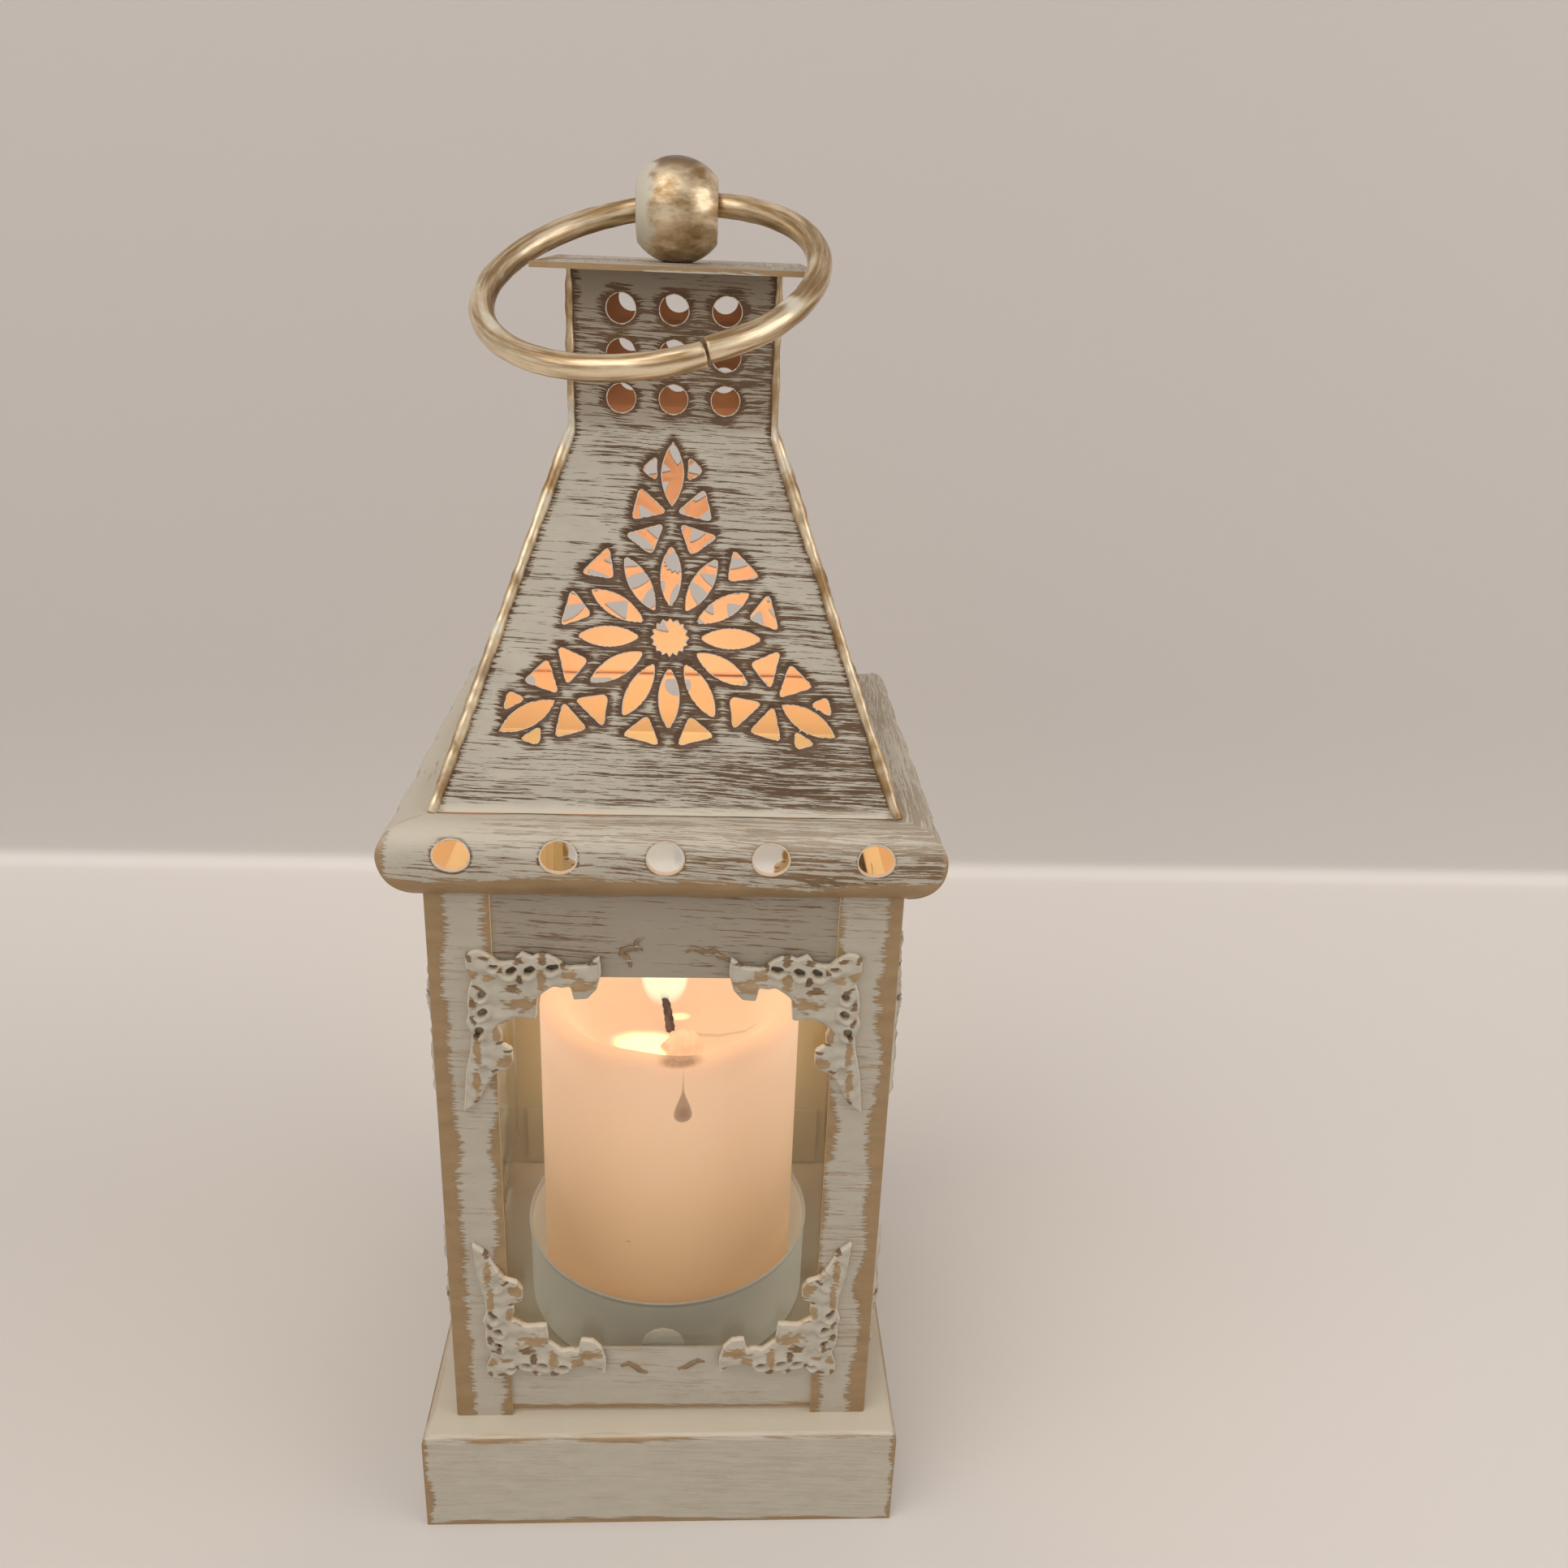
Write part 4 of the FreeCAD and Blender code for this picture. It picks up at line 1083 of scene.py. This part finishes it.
# The masks are in millimetres round the candle's axis: the painted glow of the molten pool with a
# painted glint behind the wick, a crack in the pool's right, the soot at the front right, and a
# sooty drop run down the wall below it.
def blob(place, centre, radii, soft):
    total = 0.0
    for field, middle, radius in zip(place, centre, radii):
        part = (field - middle * mm) * (to_mm / radius)
        total = part * part + total
    return ramp(calc(total.tree, "SQRT", total), 1 - soft, 1 + soft, 1.0, 0.0)


wax_material, tree, shader = material("ivory_wax")
vector = object_vector(tree)
place = split(vector)
across, away, up = place
haze = grain(vector, (130, 130, 130))
smear = (grain(vector, (900, 900, 500), 3.0) - 0.5) * 0.9
pool_glow = blob(place, (-4.2, -6.2, pool_floor + 0.6), (6.6, 5.4, 1.8), 0.28)
glint = blob(place, (1.6, 4.6, pool_floor + 0.4), (2.2, 1.3, 1.6), 0.3)
pool_glow = larger(pool_glow, glint * 0.6)
crack_slope, crack_wander, crack_away = -0.12, 4.0, -3.5
crack_line = across * crack_slope + haze * (crack_wander * mm)
crack_gap = abs(away - crack_away * mm - crack_line)
crack = ramp_mm(crack_gap, 0.2, 0.8, 0.3, 0.0) * ramp_mm(up, 78, 80)
crack = crack * ramp_mm(across, 3, 6) * ramp_mm(across, 16, 18, 1.0, 0.0)
drop_across, drop_level, drop_top = 3.0, 80.1, 85.9
soot = blob(place, (2.6, -23.5, candle_rim - 0.1), (3.6, 3.6, 0.9), 0.4)
drop_foot = blob(place, (drop_across, -25.0, drop_level), (1.65, 4.0, 1.65), 0.10)
drop_core = blob(place, (drop_across + 0.1, -25.0, drop_level + 0.2), (1.0, 4.0, 1.3), 0.6)
neck_half = ramp_mm(up, drop_level, drop_top, 1.6 * mm, 0.1 * mm)
drop_neck = ramp_mm(abs(across - drop_across * mm) - neck_half, -0.2, 0.2, 1.0, 0.0)
drop_neck *= ramp_mm(up, drop_level - 0.2, drop_level + 0.2) * ramp_mm(up, 85, 89.5, 1.0, 0.2)
drop = larger(drop_foot, drop_neck) * ramp_mm(away, -20, -22)
speck = ramp(grain(vector, (420, 420, 420), 1.0), 0.80, 0.82)
dark = larger(soot + soot * smear, drop) * 0.74
dark = larger(dark, larger(speck * 0.5, crack))
dark = calc(tree, "ADD", dark, drop_core * 0.2, clamp=True)
# Painted light: the glow rises toward the top and is brighter in the pool, the glint and the far
# inner wall at the sides, while the wax's own tone under it darkens toward the top.
height_share = ramp_mm(up, 30, 86)
glow_tone = mix(height_share, (214, 154, 92), (255, 203, 161))
glow_tone = mix(pool_glow, glow_tone, (255, 240, 176))
side_glow = ramp_mm(abs(across), 12, 24, 0.0, 0.12) * ramp_mm(up, 80, 88)
strength = ramp_mm(up, 20, 88, 0.25, 0.68) + side_glow + haze * 0.04 + pool_glow * 0.9
wax_tone = mix(height_share, (196, 166, 128), (170, 139, 115))
give(shader, {
    "Base Color": mix(dark, wax_tone, (88, 62, 46)), "Roughness": 0.45,
    "Subsurface Weight": 0.6, "Subsurface Radius": (0.02, 0.009, 0.004),
    "Subsurface Scale": 0.6,
    "Emission Color": mix(dark, glow_tone, (160, 112, 80)),
    "Emission Strength": strength})
candle_mesh.materials.append(wax_material)
candle = link("candle_wax", candle_mesh)
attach(candle, "candle")
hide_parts("candle")

# A furrowed lump of set wax stands in the pool beside the wick, with a small tan drop beside it.
set_wax, tree, shader = material("set_wax")
streaky = grain(object_vector(tree), (900, 300, 300), 3.0)
# The set wax glows faintly: painted light from the flame.
give(shader, {
    "Base Color": mix(streaky, (214, 172, 138), (244, 222, 200)),
    "Roughness": 0.35, "Emission Color": srgb(255, 204, 166),
    "Emission Strength": 0.34})
for name, centre, radii, furrow in (
        ("wax_lump", (2.9, -7.6, pool_floor + 0.6), (3.9, 4.2, 3.3), 0.10),
        ("wax_drop", (-0.5, -9.2, pool_floor + 2.0), (1.1, 1.0, 1.0), 0.04)):
    lump_bm = bmesh.new()
    bmesh.ops.create_icosphere(lump_bm, subdivisions=5, radius=1.0)
    for vertex in lump_bm.verts:
        spot = vertex.co.copy()
        furrowed = furrow * noise.noise(Vector((spot.x * 5, spot.y, spot.z)))
        vertex.co *= 1 + 0.16 * noise.noise(spot * 1.6) + furrowed
    bmesh.ops.scale(lump_bm, verts=lump_bm.verts, vec=Vector(radii) * mm)
    bmesh.ops.translate(lump_bm, verts=lump_bm.verts, vec=Vector(centre) * mm)
    lump_mesh = mesh_from(lump_bm, name)
    lump_mesh.materials.append(set_wax)
    lump = link(name, lump_mesh)
    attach(lump, "candle")


# Wick: a burnt cord of twisted strands that leans over to one side.
wick_material, tree, shader = material("burnt_wick")
char = grain(object_vector(tree), (1100, 1100, 500), 3.0)
give(shader, {
    "Base Color": mix(ramp(char, 0.35, 0.7), (30, 20, 20), (104, 70, 58)),
    "Roughness": 0.8})
wick_radius, wick_length, wick_lean, wick_steps = 0.95, 11.8, 1.9, 24
wick_path, wick_radii = [], []
for step in range(wick_steps + 1):
    share = step / wick_steps
    wick_path.append((0.1 - wick_lean * share ** 1.5, -0.4, pool_floor - 1.0 + wick_length * share))
    wick_radii.append(1.0 + 0.1 * math.sin(step * 1.9) - 0.3 * share)
wire("wick_cord", wick_path, wick_radius, wick_radii, wick_material, "candle", ("wick",))


# Flame: a bright soft teardrop on the wick, with a small warm lamp above it.
flame_foot, flame_height, flame_radius, flame_steps = pool_floor + 3.4, 27.0, 4.9, 24
flame_lean = Vector((-1.2, 3.2, 0)) * mm
flame_profile = []
for step in range(flame_steps + 1):
    share = step / flame_steps
    width = flame_radius * math.sin(math.pi * share ** 0.62) ** 0.8 if 0 < share < 1 else 0.0
    flame_profile.append((width, flame_foot + flame_height * share))
flame_mesh = lathe("flame", flame_profile, 40)
flame_material, tree, shader = material("flame")
up = split(object_vector(tree))[2]
heat = ramp_mm(up, flame_foot, flame_foot + flame_height)
glow = make(tree, "Emission", {"Color": mix(heat, (255, 246, 206), (255, 226, 150)),
                               "Strength": 1.5})
facing = make(tree, "LayerWeight", {"Blend": 0.4})["Facing"]
thick = ramp(facing, 0.12, 0.86, 0.9, 0.0) * ramp_mm(up, flame_foot, flame_foot + 7.0)
blend_surface(tree, thick, make(tree, "BsdfTransparent"), glow)
flame_mesh.materials.append(flame_material)
flame_mesh.transform(Matrix.Translation(flame_lean))
flame = link("flame", flame_mesh)
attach(flame, "candle")
lamp_place = (0, 0, (candle_rim + 36) * mm)
flame_lamp = lamp("flame_light", "POINT", 0.012, 0.05, srgb(255, 216, 172), lamp_place)
# The wax passes light on to the back of the body, where a faint sheet of light stands for it.
glow_lamp = lamp("wax_glow", "AREA", 0.04, 0.02, srgb(255, 222, 176), (0, 0.027, 0.060))
glow_lamp.rotation_euler = (math.radians(90), 0, 0)
for seen_by in ("visible_camera", "visible_transmission", "visible_glossy"):
    setattr(glow_lamp, seen_by, False)
    setattr(flame_lamp, seen_by, False)
